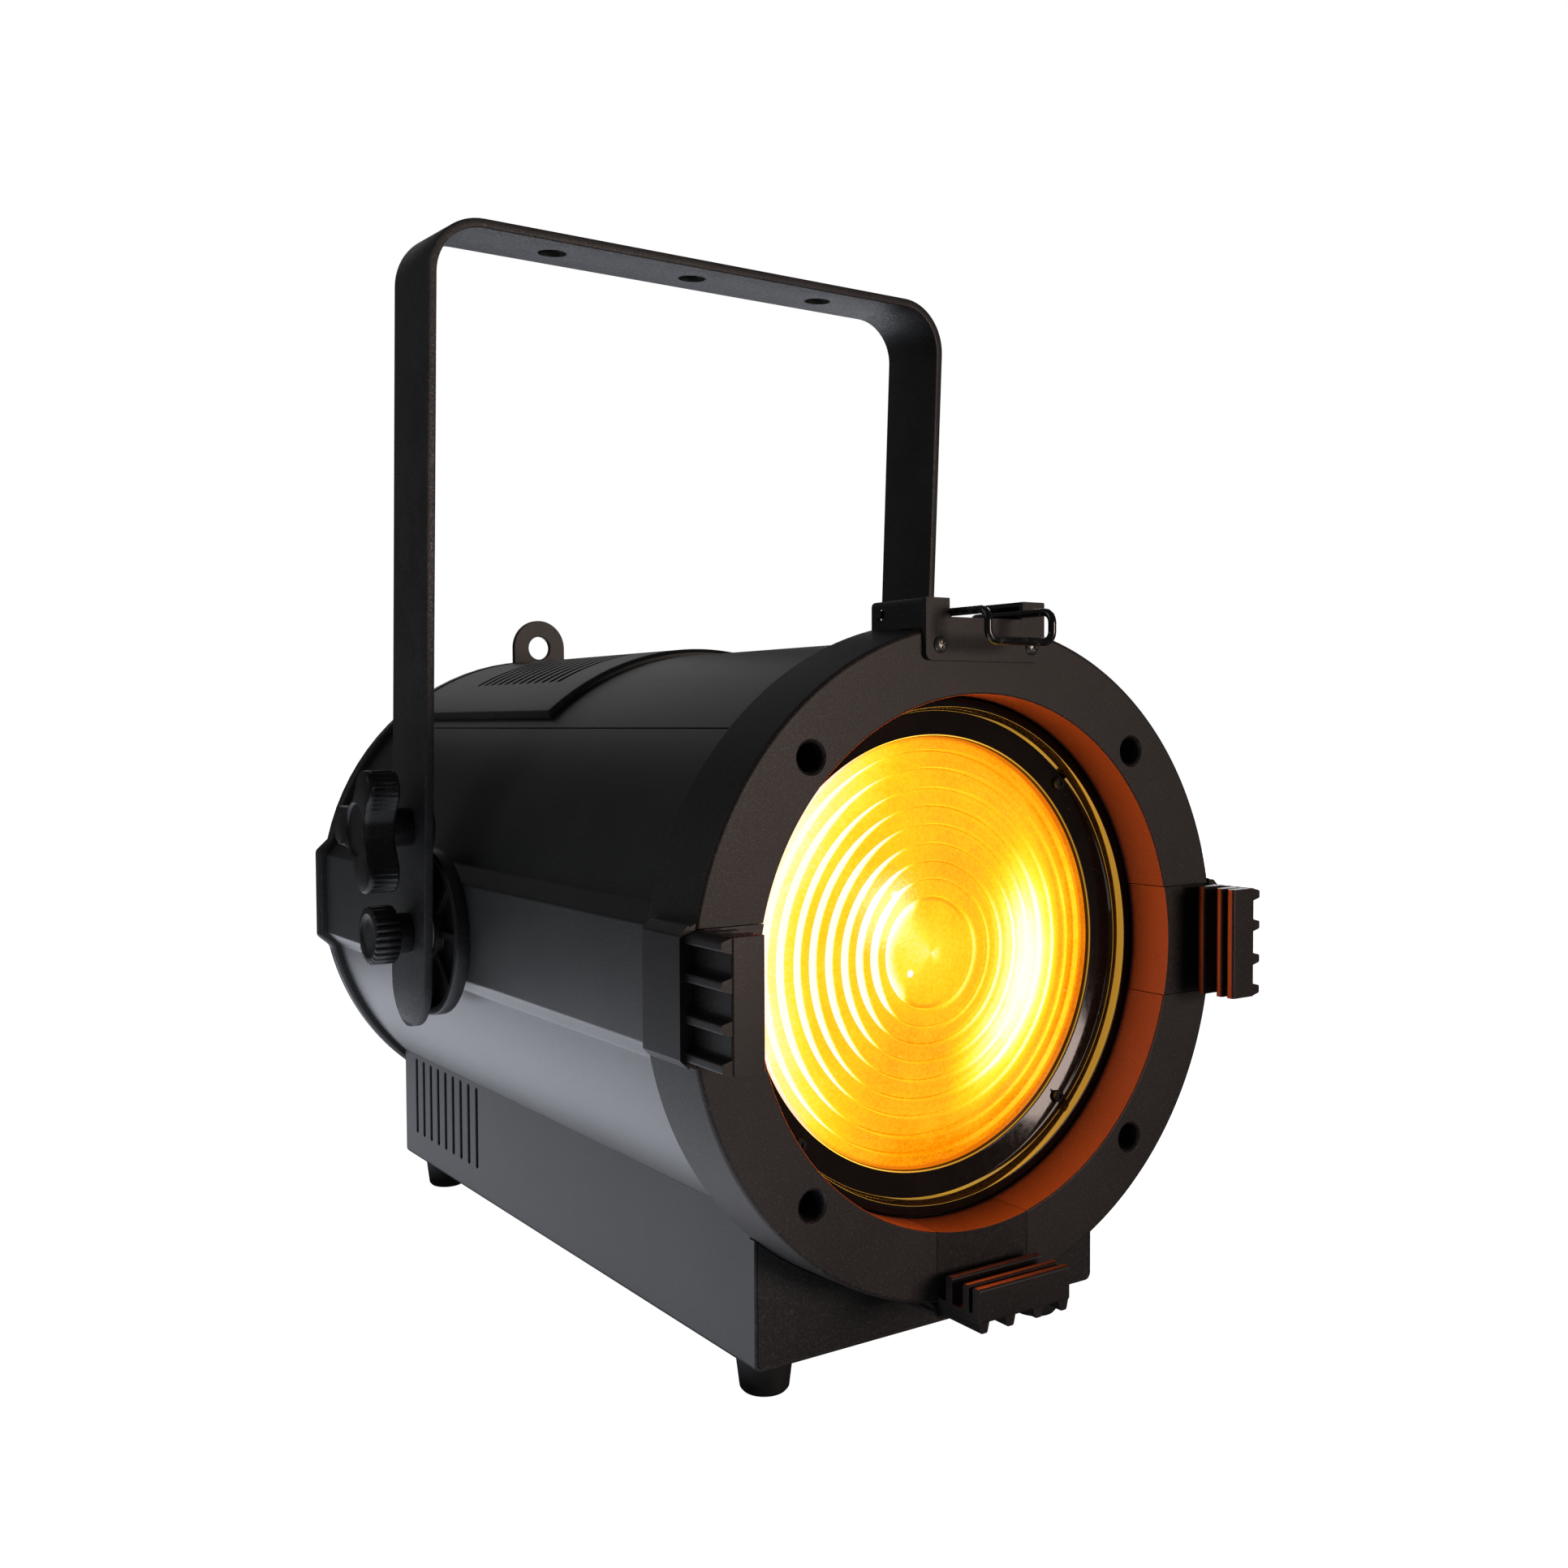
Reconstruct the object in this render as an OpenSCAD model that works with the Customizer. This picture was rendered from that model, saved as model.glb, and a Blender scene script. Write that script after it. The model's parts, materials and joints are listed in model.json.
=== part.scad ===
// Fresnel spotlight on a yoke. Every module draws in lamp coordinates: the origin is the centre of
// the front ring's face, x runs across, y runs back into the lamp and z runs up.
// seat() then stands the lamp on its feet, centred on the row's origin.

/* [Front ring] */
// Outer radius of the front ring at its face
ring_r = 125; // [124:0.5:128]
// Depth of the front ring
ring_depth = 30; // [28:1:32]
// Radius of the beam opening
ring_bore_r = 99; // [98:0.5:100]
// Radius of the circle of the four ring screws
ring_screw_r = 109; // [108:0.5:112]

/* [Housing] */
// Outer radius of the barrel
body_r = 120.8; // [120:0.1:121]
// Thickness of the sheet metal
sheet = 1.5; // [1.2:0.1:1.6]
// Where the barrel ends
body_back = 380; // [378:1:384]
// Half width over the flat side bands
band_x = 124; // [123.6:0.1:124.2]
// Half angle of the separate top shell
seam_angle = 44; // [43:0.5:46]
// Thickness of the rear cover
rear_t = 8; // [7:0.5:10]
// How far the focus knob stands out of the rear cover
focus_knob_out = 14; // [10:1:20]

/* [Vent cover] */
// Outer radius of the raised vent cover
vent_r = 124; // [123.4:0.1:124.4]
// Half angle of the vent cover
vent_angle = 41; // [39:0.5:42]
// Front edge of the vent cover
vent_front = 198; // [190:1:210]
// Number of vent slots
vent_slots = 12; // [8:1:12]
// Distance between vent slots
vent_pitch = 8.6; // [8:0.1:8.6]
// Width of a vent slot
vent_slot_w = 4; // [3:0.1:5]

/* [Base] */
// Half width of the base
base_x = 83.5; // [80:0.5:86]
// Front face of the base
base_front_y = 27.5; // [26:0.5:29]
// Rear face of the base
base_rear_y = 377; // [374:0.5:379]
// Underside of the base, below the beam axis
base_z = 143.9; // [142:0.1:148]
// Height of the rubber feet
foot_h = 15.1; // [12:0.1:18]
// Number of vent slots in each side of the base
base_slots = 9; // [5:1:10]

/* [Yoke] */
// Width of the yoke strap
strap_w = 40; // [36:1:44]
// Thickness of the yoke strap
strap_t = 4; // [4:0.5:5]
// Half width over the yoke's legs
yoke_x = 137.8; // [137.8:0.1:140]
// Height of the yoke's top over the pivot
yoke_h = 305.8; // [280:1:340]
// Forward lean of the yoke at rest, in degrees
yoke_lean = 3; // [0:0.5:20]
// Bend radius of the yoke's corners
yoke_bend = 25; // [20:1:40]
// Radius of the three clamp holes
clamp_hole_r = 6.5; // [5:0.1:7]
// Distance from the middle hole to each outer hole
clamp_hole_x = 72.4; // [60:0.1:90]
// Pivot's distance behind the ring face
pivot_y = 223; // [215:1:230]
// Pivot's height relative to the beam axis
pivot_z = -2.5; // [-4:0.5:0]
// Tilt knob's distance above the pivot
tilt_knob_h = 46.5; // [45:0.5:55]
// Overall radius of the tilt knob
tilt_knob_r = 29; // [26:0.5:30]

/* [Accessory holders] */
// Half width of an accessory holder
holder_w = 22; // [18:0.5:26]
// How far the holders stand out of the ring face
holder_out = 23; // [22.9:0.1:24]

/* [Optics] */
// Radius of the lens
lens_r = 85; // [84:0.5:86]
// Curve radius of the lens before it is stepped
lens_curve = 150; // [140:1:200]
// Focus travel each way from rest
focus_travel = 60; // [40:1:60]

/* [Hidden] */
$fn = 96;
eps = 0.01;
run_gap = 0.05;      // radial clearance of running fits
foot_z = base_z + foot_h;
holder_front = -holder_out;
rear_y = body_back + rear_t;
front_to_back = rear_y + focus_knob_out + holder_out;
mid_y = front_to_back / 2 - holder_out;
ring_taper = 1.5;
lens_back = 38;
led_y = 130;         // rest place of the light engine's plate
rod_x = 98;
rod_r = 4;
screw_z = -98;
screw_r = 5;
fan_z = 28;
rear_screw_r = 118.5;
retainer_screw_r = 90.5;
retainer_seat_y = 27.25;   // just clear of the retainer's slope
retainer_head_t = 1.3;
socket_z = -127;
inlet_z = -132;
data_x = [40, 66];
fuse_x = -32;
rear_screw_angles = [0, 40, 140, 180, 220, 320];
bulkhead_y = 332;
sides = [-1, 1];
lens_zones = [0, 0.256, 0.34, 0.42, 0.5, 0.585, 0.67, 0.75, 0.84, 0.92, 0.982];

// ---------- placing and drawing helpers ----------

module seat() translate([0, -mid_y, foot_z]) children();

// A flat outline in x and z, as thick as y0 to y1
module slab_y(y0, y1) translate([0, y1, 0]) rotate([90, 0, 0]) linear_extrude(y1 - y0) children();

// A profile of [radius, y] points turned round the beam axis
module spin_y() rotate([-90, 0, 0]) rotate_extrude() children();

module rod_y(x, z, y0, y1, r) translate([x, y0, z]) rotate([-90, 0, 0]) cylinder(h = y1 - y0, r = r);

module cone_y(x, z, y0, y1, r0, r1)
  translate([x, y0, z]) rotate([-90, 0, 0]) cylinder(h = y1 - y0, r1 = r0, r2 = r1);

// A round bar along x on the side s, between two distances from the middle
module rod_x(s, y, z, x0, x1, r)
  translate([s * x0, y, z]) rotate([0, s * 90, 0]) cylinder(h = x1 - x0, r = r);

module box(low, high) translate(low) cube(high - low);

module four_corners(r, at = 45) for (i = [0 : 3]) rotate([0, at + i * 90, 0]) translate([r, 0, 0]) children();

// The barrel's outline: a circle with a flat band on each side, grown by g
module body_outline(g) {
  circle(body_r + g);
  for (s = sides)
    polygon([[0, 28 + g], [s * (117.2 + g), 28 + g], [s * (band_x + g), 20.5 + g / 2],
             [s * (band_x + g), -21 - g / 2], [s * (117.2 + g), -28 - g], [0, -28 - g]]);
}

// The wedge above the beam axis, a degrees each side of upright
module top_wedge(a) polygon([[0, 0], [-200 * sin(a), 200 * cos(a)], [0, 260], [200 * sin(a), 200 * cos(a)]]);

// ---------- front ring and what it carries ----------

module holder_pocket(gap) box([-holder_w - gap, -1, -140], [holder_w + gap, 22 + gap, -ring_bore_r + 5]);

module at_holder(turn) rotate([0, turn, 0]) children();

module front_ring() seat() color("#2b2b2c") difference() {
  spin_y() polygon([
    [ring_bore_r, 0.6], [ring_bore_r + 0.6, 0], [ring_r - 1.2, 0], [ring_r, 1.2],
    [ring_r + ring_taper, ring_depth], [118.3, ring_depth], [118.3, 42], [115, 42],
    [115, 34], [96, 34], [96, 42], [80, 42], [80, 39], [86.2, 39], [86.2, ring_depth],
    [ring_bore_r, ring_depth]]);
  for (turn = [0, 90, -90]) at_holder(turn) holder_pocket(0.1);
  four_corners(ring_screw_r) {
    rod_y(0, 0, -1, 26, 5);
    cone_y(0, 0, -0.01, 1.4, 6.4, 5);
    rod_y(0, 0, 20, 40, 2.2);
  }
  for (s = sides) rod_y(s * 22, 116.6, -1, 9, 1.6);
  four_corners(retainer_screw_r) rod_y(0, 0, 20, 34, 1.3);
}

module holder_rib_row(y0, y1)
  for (t = [-20.4, -7, 7, 20.4]) box([t - 1.6, y0, -126.2], [t + 1.6, y1, -123.5]);

// An accessory holder, drawn at the bottom of the ring: a block let into the ring and a comb of
// fins in front of it that hold colour frames, barn doors and nets
module holder() color("#262627") {
  difference() {
    box([-holder_w, 0, -126.2], [holder_w, 22, -90]);
    rod_y(0, 0, -1, 23, ring_bore_r);
  }
  box([-holder_w, holder_front, -123.6], [holder_w, 0, -120.6]);
  for (y = [[-8.2, -4.7], [-17.3, -14.1], [holder_front, -19.4]])
    box([-holder_w, y[0], -120.7], [holder_w, y[1], -111]);
  holder_rib_row(holder_front, 0);
}

module holder_bottom() seat() at_holder(0) holder();
module holder_left() seat() at_holder(90) holder();
module holder_right() seat() at_holder(-90) holder();

module ring_screws() seat() color("#3a3a3c") four_corners(ring_screw_r) difference() {
  union() {
    rod_y(0, 0, 22.5, 26, 3.6);
    rod_y(0, 0, 25.9, 41, 2);
  }
  rod_y(0, 0, 22, 24.5, 1.7, $fn = 6);
}

// Folded sheet bracket on top of the ring: front plate with a notch, two side walls, two top flaps
module gate_bracket() seat() color("#2e2e2f") difference() {
  union() {
    slab_y(-2, 0) {
      translate([-28.5, 113.5]) square([57, 19.9]);
      translate([-26, 111]) square([52, 4]);
      for (s = sides) translate([s * 26, 113.5]) circle(2.5);
    }
    for (s = sides) {
      box([s > 0 ? 26.5 : -28.5, -1, 122.6], [s > 0 ? 28.5 : -26.5, 30, 133.4]);
      box([s > 0 ? 17.6 : -28.5, -2, 131.6], [s > 0 ? 28.5 : -17.6, 30, 133.4]);
    }
  }
  box([-17.6, -3, 126], [17.6, 1, 140]);
  rod_y(0, 0, 0.2, 31, ring_r + ring_taper + 0.1);
  for (s = sides) {
    rod_x(s, 24.5, 128.5, 20, 35, 1.58);
    rod_y(s * 22, 116.6, -3, 1, 1.7);
  }
}

module pan_head_screw(length) {
  difference() {
    union() {
      cone_y(0, 0, -1.7, -0.5, 1.9, 3);
      rod_y(0, 0, -0.5, 0, 3);
    }
    for (turn = [0, 90]) rotate([0, turn, 0]) box([-1.5, -3, -0.35], [1.5, -0.8, 0.35]);
  }
  rod_y(0, 0, -eps, length, 1.5);
}

module bracket_screws() seat() color("#9a9a98")
  for (s = sides) translate([s * 22, -2, 116.6]) rotate([0, 20, 0]) pan_head_screw(9);

// Half of the wire bail, on the side s, from its hinge end to the middle of its front loop
module bail_half(s) {
  wire = 1.5;
  bend = 4;
  arm_x = 15.3;
  hinge_y = 24.5;
  top_z = 128.5;
  loop_y = -20;
  low_z = 117.5;
  rod_x(s, hinge_y, top_z, arm_x + bend, 29.5, wire);
  translate([s * (arm_x + bend), hinge_y - bend, top_z]) mirror([s > 0 ? 1 : 0, 0, 0])
    rotate_extrude(angle = 90) translate([bend, 0]) circle(wire);
  rod_y(s * arm_x, top_z, loop_y + bend, hinge_y - bend, wire);
  translate([s * arm_x, loop_y + bend, top_z - bend]) rotate([0, -90, 0]) mirror([0, 1, 0])
    rotate_extrude(angle = 90) translate([bend, 0]) circle(wire);
  translate([s * arm_x, loop_y, low_z + bend]) cylinder(h = top_z - low_z - 2 * bend, r = wire);
  translate([s * (arm_x - bend), loop_y, low_z + bend]) rotate([-90, 0, 0]) mirror([s > 0 ? 0 : 1, 0, 0])
    rotate_extrude(angle = 90) translate([bend, 0]) circle(wire);
  rod_x(s, loop_y, low_z, 0, arm_x - bend, wire);
}

module gate_bail() seat() color("#1c1c1d") for (s = sides) bail_half(s);

// ---------- optics at the front ----------

// Depth of the unstepped lens surface at radius r
function lens_sag(r) = lens_curve - sqrt(lens_curve * lens_curve - r * r);

module lens() seat() color("#f2c84e") spin_y() polygon(concat(
  [[0, lens_back]],
  [for (i = [0 : len(lens_zones) - 2], k = [0 : 1])
     let (a = lens_zones[i] * lens_r, b = lens_zones[i + 1] * lens_r, r = k == 0 ? a : b)
     [r + (k == 0 && i > 0 ? 0.15 : 0), 30.2 + lens_sag(r) - lens_sag(a)]],
  [[lens_r - 1.4, 31.2], [lens_r, 31.2], [lens_r, lens_back]]));

module lens_seal() seat() color("#d8d8d4") spin_y() polygon([[80.6, 38], [86, 38], [86, 39], [80.6, 39]]);

// Dished ring that holds the lens in its seat
module lens_retainer() seat() color("#201d1a") difference() {
  spin_y() polygon([[98.4, 30], [98.4, 20.6], [97.8, 20], [96.8, 20], [94.6, 26.2], [93.4, 27.2],
                    [84.2, 28.6], [83.4, 31.1], [86, 31.1], [86, 30]]);
  four_corners(retainer_screw_r) rod_y(0, 0, 15, 32, 1.35);
}

module retainer_screws() seat() color("#4a4640") four_corners(retainer_screw_r) difference() {
  union() {
    rod_y(0, 0, retainer_seat_y - retainer_head_t, retainer_seat_y, 2.4);
    rod_y(0, 0, retainer_seat_y - 0.1, 33, 1.25);
  }
  rod_y(0, 0, retainer_seat_y - retainer_head_t - 0.1, retainer_seat_y - 0.6, 1.2, $fn = 6);
}

// ---------- housing ----------

module housing_shell() seat() color("#2b2c2c") difference() {
  slab_y(ring_depth + 0.1, body_back) difference() {
    body_outline(0);
    body_outline(-sheet);
    top_wedge(seam_angle);
  }
  for (s = sides) rod_x(s, pivot_y, pivot_z, 110, 130, 5.1);
}

module top_shell() seat() color("#2c2d2d") difference() {
  slab_y(ring_depth + 0.1, body_back) intersection() {
    difference() { circle(body_r); circle(body_r - sheet); }
    top_wedge(seam_angle - 0.15);
  }
  for (a = [-20, 0, 20]) rotate([0, a, 0]) box([-14, 232, 100], [14, 326, 130]);
}

module vent_cover() seat() color("#303131") difference() {
  slab_y(vent_front, body_back) intersection() {
    difference() { circle(vent_r); circle(body_r + 0.05); }
    top_wedge(vent_angle);
  }
  slab_y(vent_front + 1.6, body_back + 1) intersection() {
    difference() { circle(vent_r - sheet); circle(body_r - 1); }
    top_wedge(vent_angle - 0.8);
  }
  for (i = [0 : vent_slots - 1]) let (y = 232 + i * vent_pitch)
    slab_y(y - vent_slot_w / 2, y + vent_slot_w / 2) intersection() {
      difference() { circle(vent_r + 3); circle(body_r + 0.1); }
      top_wedge(29);
    }
}

module rear_spigot_outline() difference() {
  body_outline(-sheet - 0.2);
  body_outline(-sheet - 3.2);
}

module rear_cover() seat() color("#29292a") difference() {
  union() {
    slab_y(body_back, rear_y) body_outline(3.7);
    slab_y(body_back - 9, body_back + 1) rear_spigot_outline();
  }
  box([-15.6, body_back - 1, 100], [15.6, body_back + 3, 140]);
  box([-16, body_back - 10, 105], [16, body_back + 0.5, 125]);
  slab_y(body_back - 1, rear_y - 2.5) difference() {
    body_outline(-4.8);
    translate([-22, 96]) square([44, 40]);
  }
  rod_y(0, fan_z, body_back, rear_y + 1, 52);
  box([-66, body_back, -79], [66, rear_y + 1, -47]);
  rod_y(0, screw_z, body_back, rear_y + 1, 7.5);
  for (a = rear_screw_angles) rotate([0, a, 0]) rod_y(rear_screw_r, 0, body_back - 1, rear_y + 1, 1.6);
}

module rear_screws() seat() color("#7d7d7c")
  for (a = rear_screw_angles) rotate([0, a, 0])
    translate([rear_screw_r, rear_y, 0]) mirror([0, 1, 0]) pan_head_screw(7);

module safety_eye() seat() color("#2a2a2b") slab_y(body_back, body_back + 3) difference() {
  union() {
    translate([-15.5, 100]) square([31, 32]);
    translate([0, 132]) circle(15.5);
  }
  translate([0, 132]) circle(6.5);
  for (s = sides) translate([s * 9, 107]) circle(1.8);
}

// ---------- base ----------

module base_outline(x, z, r) {
  translate([-x, -z + r]) square([2 * x, z - r - 80]);
  translate([-x + r, -z]) square([2 * (x - r), r + 1]);
  for (s = sides) translate([s * (x - r), -z + r]) circle(r);
}

module foot_places() for (s = sides, y = [45, 358]) translate([s * 68, y, -base_z]) children();

module base_channel() seat() color("#2d2e2e") difference() {
  slab_y(base_front_y, base_rear_y) difference() {
    base_outline(base_x, base_z, 3);
    base_outline(base_x - sheet, base_z - sheet, 1.5);
    square([300, 160], center = true);
  }
  slab_y(base_front_y - 1, base_rear_y + 1) circle(body_r + 0.1);
  slab_y(base_front_y - 1, ring_depth + 0.2) circle(ring_r + ring_taper + 0.3);
  for (s = sides, i = [0 : base_slots - 1]) let (y = 360 - i * 10.1) {
    rod_x(s, y, -91, base_x - 3, base_x + 2, 1.5);
    rod_x(s, y, -128, base_x - 3, base_x + 2, 1.5);
    box([s * base_x - 3, y - 1.5, -128], [s * base_x + 3, y + 1.5, -91]);
  }
  foot_places() translate([0, 0, -1]) cylinder(h = 4, r = 2.2);
}

module base_end(y0, y1, r) slab_y(y0, y1) difference() {
  base_outline(base_x - sheet - 0.1, base_z - sheet - 0.1, 1.5);
  circle(r);
}

module base_front_panel() seat() color("#2d2e2e")
  base_end(base_front_y, base_front_y + sheet, ring_r + ring_taper + 0.3);

module base_rear_panel() seat() color("#2d2e2e") difference() {
  base_end(base_rear_y - sheet, base_rear_y, body_r + 0.1);
  box([-13.6, 370, inlet_z - 9.3], [13.6, 380, inlet_z + 9.3]);
  rod_y(fuse_x, socket_z, 370, 380, 6.1);
  for (x = data_x) rod_y(x, socket_z, 370, 380, 10.1);
}

module base_screws() seat() color("#7d7d7c") {
  foot_places() {
    translate([0, 0, -9.5]) cylinder(h = 12.5, r = 2);
    translate([0, 0, -12]) cylinder(h = 3, r = 4);
  }
  for (s = sides, y = [100, 230]) translate([s * 60, y, -base_z]) mirror([0, 0, 1]) cylinder(h = 1.6, r = 3);
}

module rubber_feet() seat() color("#18181a") foot_places() difference() {
  union() {
    translate([0, 0, -foot_h + 1.5]) cylinder(h = foot_h - 1.5, r1 = 9.3, r2 = 11);
    translate([0, 0, -foot_h]) cylinder(h = 1.5, r1 = 8, r2 = 9.3);
  }
  translate([0, 0, -20]) cylinder(h = 11, r = 4.2);
  translate([0, 0, -20]) cylinder(h = 24, r = 2.1);
}

// ---------- yoke and pivots ----------

module at_pivot() translate([0, pivot_y, pivot_z]) rotate([yoke_lean, 0, 0]) children();

module strap_outline(x, h, r) {
  translate([-x, -45]) square([2 * x, 45 + h - r]);
  translate([-x + r, 0]) square([2 * (x - r), h]);
  for (s = sides) translate([s * (x - r), h - r]) circle(r);
}

module yoke() seat() at_pivot() color("#29292a") difference() {
  intersection() {
    slab_y(-strap_w / 2, strap_w / 2) difference() {
      strap_outline(yoke_x, yoke_h, yoke_bend);
      strap_outline(yoke_x - strap_t, yoke_h - strap_t, yoke_bend - strap_t);
      translate([-100, -60]) square([200, 100]);
    }
    union() {
      box([-200, -strap_w / 2, -21.5], [200, strap_w / 2, 400]);
      rod_x(1, 0, -21.5, -200, 200, strap_w / 2);
    }
  }
  for (x = [-clamp_hole_x, 0, clamp_hole_x])
    translate([x, 0, yoke_h - 10]) cylinder(h = 20, r = clamp_hole_r);
  for (s = sides) {
    rod_x(s, 0, 0, 120, 150, 5 + run_gap);
    rod_x(s, 0, tilt_knob_h, 120, 150, 4 + run_gap);
  }
}

disc_out = 130;
module pivot_disc(s) seat() translate([0, pivot_y, pivot_z]) color("#2a2a2b") {
  difference() {
    rod_x(s, 0, 0, band_x, disc_out, 37);
    difference() {
      rod_x(s, 0, 0, band_x + 2, disc_out + 1, 33.5);
      rod_x(s, 0, 0, band_x, disc_out + 2, 13);
    }
    rod_x(s, 0, 0, band_x - 1, disc_out + 1, 5.1);
  }
  for (i = [0 : 7]) rotate([i * 45 + 22.5, 0, 0])
    box([s > 0 ? band_x + 1.9 : -disc_out + 1.5, -1.5, 12.8], [s > 0 ? disc_out - 1.5 : -band_x - 1.9, 1.5, 33.7]);
}

module pivot_disc_left() pivot_disc(-1);
module pivot_disc_right() pivot_disc(1);

module pivot_bolt(s) seat() translate([0, pivot_y, pivot_z]) color("#8b8b89") {
  rod_x(s, 0, 0, band_x - sheet - eps, 150, 5);
  rod_x(s, 0, 0, band_x - sheet - 6, band_x - sheet, 9, $fn = 6);
}

module pivot_bolt_left() pivot_bolt(-1);
module pivot_bolt_right() pivot_bolt(1);

module pivot_washers() seat() at_pivot() color("#d9d7cf") for (s = sides) difference() {
  rod_x(s, 0, 0, disc_out + 0.2, yoke_x - strap_t, 12);
  rod_x(s, 0, 0, disc_out - 1, yoke_x, 5 + run_gap);
}

module brake_pads() seat() at_pivot() color("#1d1d1e") for (s = sides) difference() {
  rod_x(s, 0, tilt_knob_h, disc_out + 0.3, yoke_x - strap_t, 13);
  rod_x(s, 0, tilt_knob_h, yoke_x - strap_t - 2, yoke_x, 4.4);
}

// Three-lobed knob outline: a hub with three round-ended arms
module lobe_outline(r) {
  circle(13);
  for (a = [0, 120, 240]) rotate(a) {
    translate([-8.5, 0]) square([17, r - 8.5]);
    translate([0, r - 8.5]) circle(8.5);
  }
}

module tilt_knob(s) seat() at_pivot() translate([0, 0, tilt_knob_h]) color("#1b1b1c") {
  rod_x(s, 0, 0, yoke_x - strap_t - 1.8, yoke_x + 1, 4);
  rod_x(s, 0, 0, yoke_x + 0.2, yoke_x + 11, 8.75);
  translate([s * (yoke_x + 10.2), 0, 0]) rotate([0, s * 90, 0])
    linear_extrude(13.8) lobe_outline(tilt_knob_r);
}

module tilt_knob_left() tilt_knob(-1);
module tilt_knob_right() tilt_knob(1);

module pivot_knob(s) seat() at_pivot() color("#1b1b1c") difference() {
  union() {
    rod_x(s, 0, 0, yoke_x + 0.2, yoke_x + 7.2, 9);
    difference() {
      rod_x(s, 0, 0, yoke_x + 7, yoke_x + 18, 12.8);
      for (i = [0 : 23]) rotate([i * 15, 0, 0]) rod_x(s, 0, 13.1, yoke_x + 5, yoke_x + 20, 0.9, $fn = 16);
    }
  }
  rod_x(s, 0, 0, yoke_x - 1, 150.6, 5 + run_gap);
}

module pivot_knob_left() pivot_knob(-1);
module pivot_knob_right() pivot_knob(1);

// ---------- light engine and focus drive ----------

module front_bulkhead() seat() color("#8f9294") difference() {
  union() {
    slab_y(42, 44) difference() { circle(118.2); circle(84); }
    for (s = sides) rod_y(s * rod_x, 0, 44 - eps, 52, 8);
    rod_y(0, screw_z, 44 - eps, 52, 8);
    four_corners(ring_screw_r) rod_y(0, 0, 34.2, 42.1, 5.4);
  }
  for (s = sides) rod_y(s * rod_x, 0, 43, 60, rod_r);
  rod_y(0, screw_z, 43, 60, 4 + run_gap);
  four_corners(ring_screw_r) rod_y(0, 0, 33, 43, 2.05);
}

module rear_bulkhead() seat() color("#8f9294") difference() {
  union() {
    slab_y(bulkhead_y, bulkhead_y + 3) circle(118.2);
    for (s = sides) rod_y(s * rod_x, 0, bulkhead_y - 8, bulkhead_y + eps, 8);
    rod_y(0, screw_z, bulkhead_y - 8, bulkhead_y + eps, 8.5);
  }
  for (s = sides) rod_y(s * rod_x, 0, bulkhead_y - 9, bulkhead_y + 2, rod_r);
  rod_y(0, screw_z, bulkhead_y - 9, bulkhead_y + 4, screw_r + run_gap);
  rod_y(0, fan_z, bulkhead_y - 1, bulkhead_y + 4, 56);
}

module guide_rods() seat() color("#c4c6c8") for (s = sides) rod_y(s * rod_x, 0, 43.1, bulkhead_y + 1.9, rod_r);

module light_carriage() seat() color("#9a9da0") difference() {
  union() {
    slab_y(led_y, led_y + 4) {
      circle(66);
      translate([-rod_x, -11]) square([2 * rod_x, 22]);
      translate([-11, screw_z]) square([22, 40]);
    }
    for (s = sides) rod_y(s * rod_x, 0, led_y - 8, led_y + 16, 11);
    rod_y(0, screw_z, led_y - 8, led_y + 16, 11);
  }
  for (s = sides) rod_y(s * rod_x, 0, led_y - 9, led_y + 17, 6);
  rod_y(0, screw_z, led_y - 9, led_y + 17, screw_r + run_gap);
}

module rod_bushes() seat() color("#b08a3c") for (s = sides) difference() {
  rod_y(s * rod_x, 0, led_y - 8, led_y + 16, 6);
  rod_y(s * rod_x, 0, led_y - 9, led_y + 17, rod_r + run_gap);
}

fin_count = 17;
module heat_sink() seat() color("#8a8c8f") {
  box([-60, led_y + 4, -60], [60, led_y + 11, 60]);
  for (i = [0 : fin_count - 1]) let (x = -58.8 + i * 117.6 / (fin_count - 1))
    box([x - 1.2, led_y + 10.9, -60], [x + 1.2, led_y + 64, 60]);
}

module led_board() seat() color("#e8e8e4") rod_y(0, 0, led_y - 2, led_y, 32);

module led_emitter() seat() color("#f0c030") rod_y(0, 0, led_y - 3.4, led_y - 2, 15);

module reflector() seat() color("#cfd2d4") translate([0, led_y, 0])
  spin_y() polygon([[17, -2], [17, -4], [37, -25], [38.4, -25], [38.4, -24.2], [18.6, -3], [18.6, -2]]);

module lead_screw() seat() color("#b9bcbf") {
  rod_y(0, screw_z, 45, 53, 4);
  rod_y(0, screw_z, 52.3, rear_y - 4, screw_r);
  rod_y(0, screw_z, rear_y - 4.1, rear_y + 7.9, 3);
}

module focus_knob() seat() color("#1b1b1c") difference() {
  translate([0, 0, screw_z]) difference() {
    union() {
      rod_y(0, 0, rear_y - 3, rear_y + 1, 7);
      cone_y(0, 0, rear_y + 0.6, rear_y + focus_knob_out, 13.5, 12);
    }
    for (i = [0 : 17]) rotate([0, i * 20, 0]) rod_y(13.9, 0, rear_y, rear_y + focus_knob_out + 1, 1, $fn = 16);
  }
  rod_y(0, screw_z, rear_y - 4, rear_y + 8, 3);
}

// ---------- fan ----------

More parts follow.
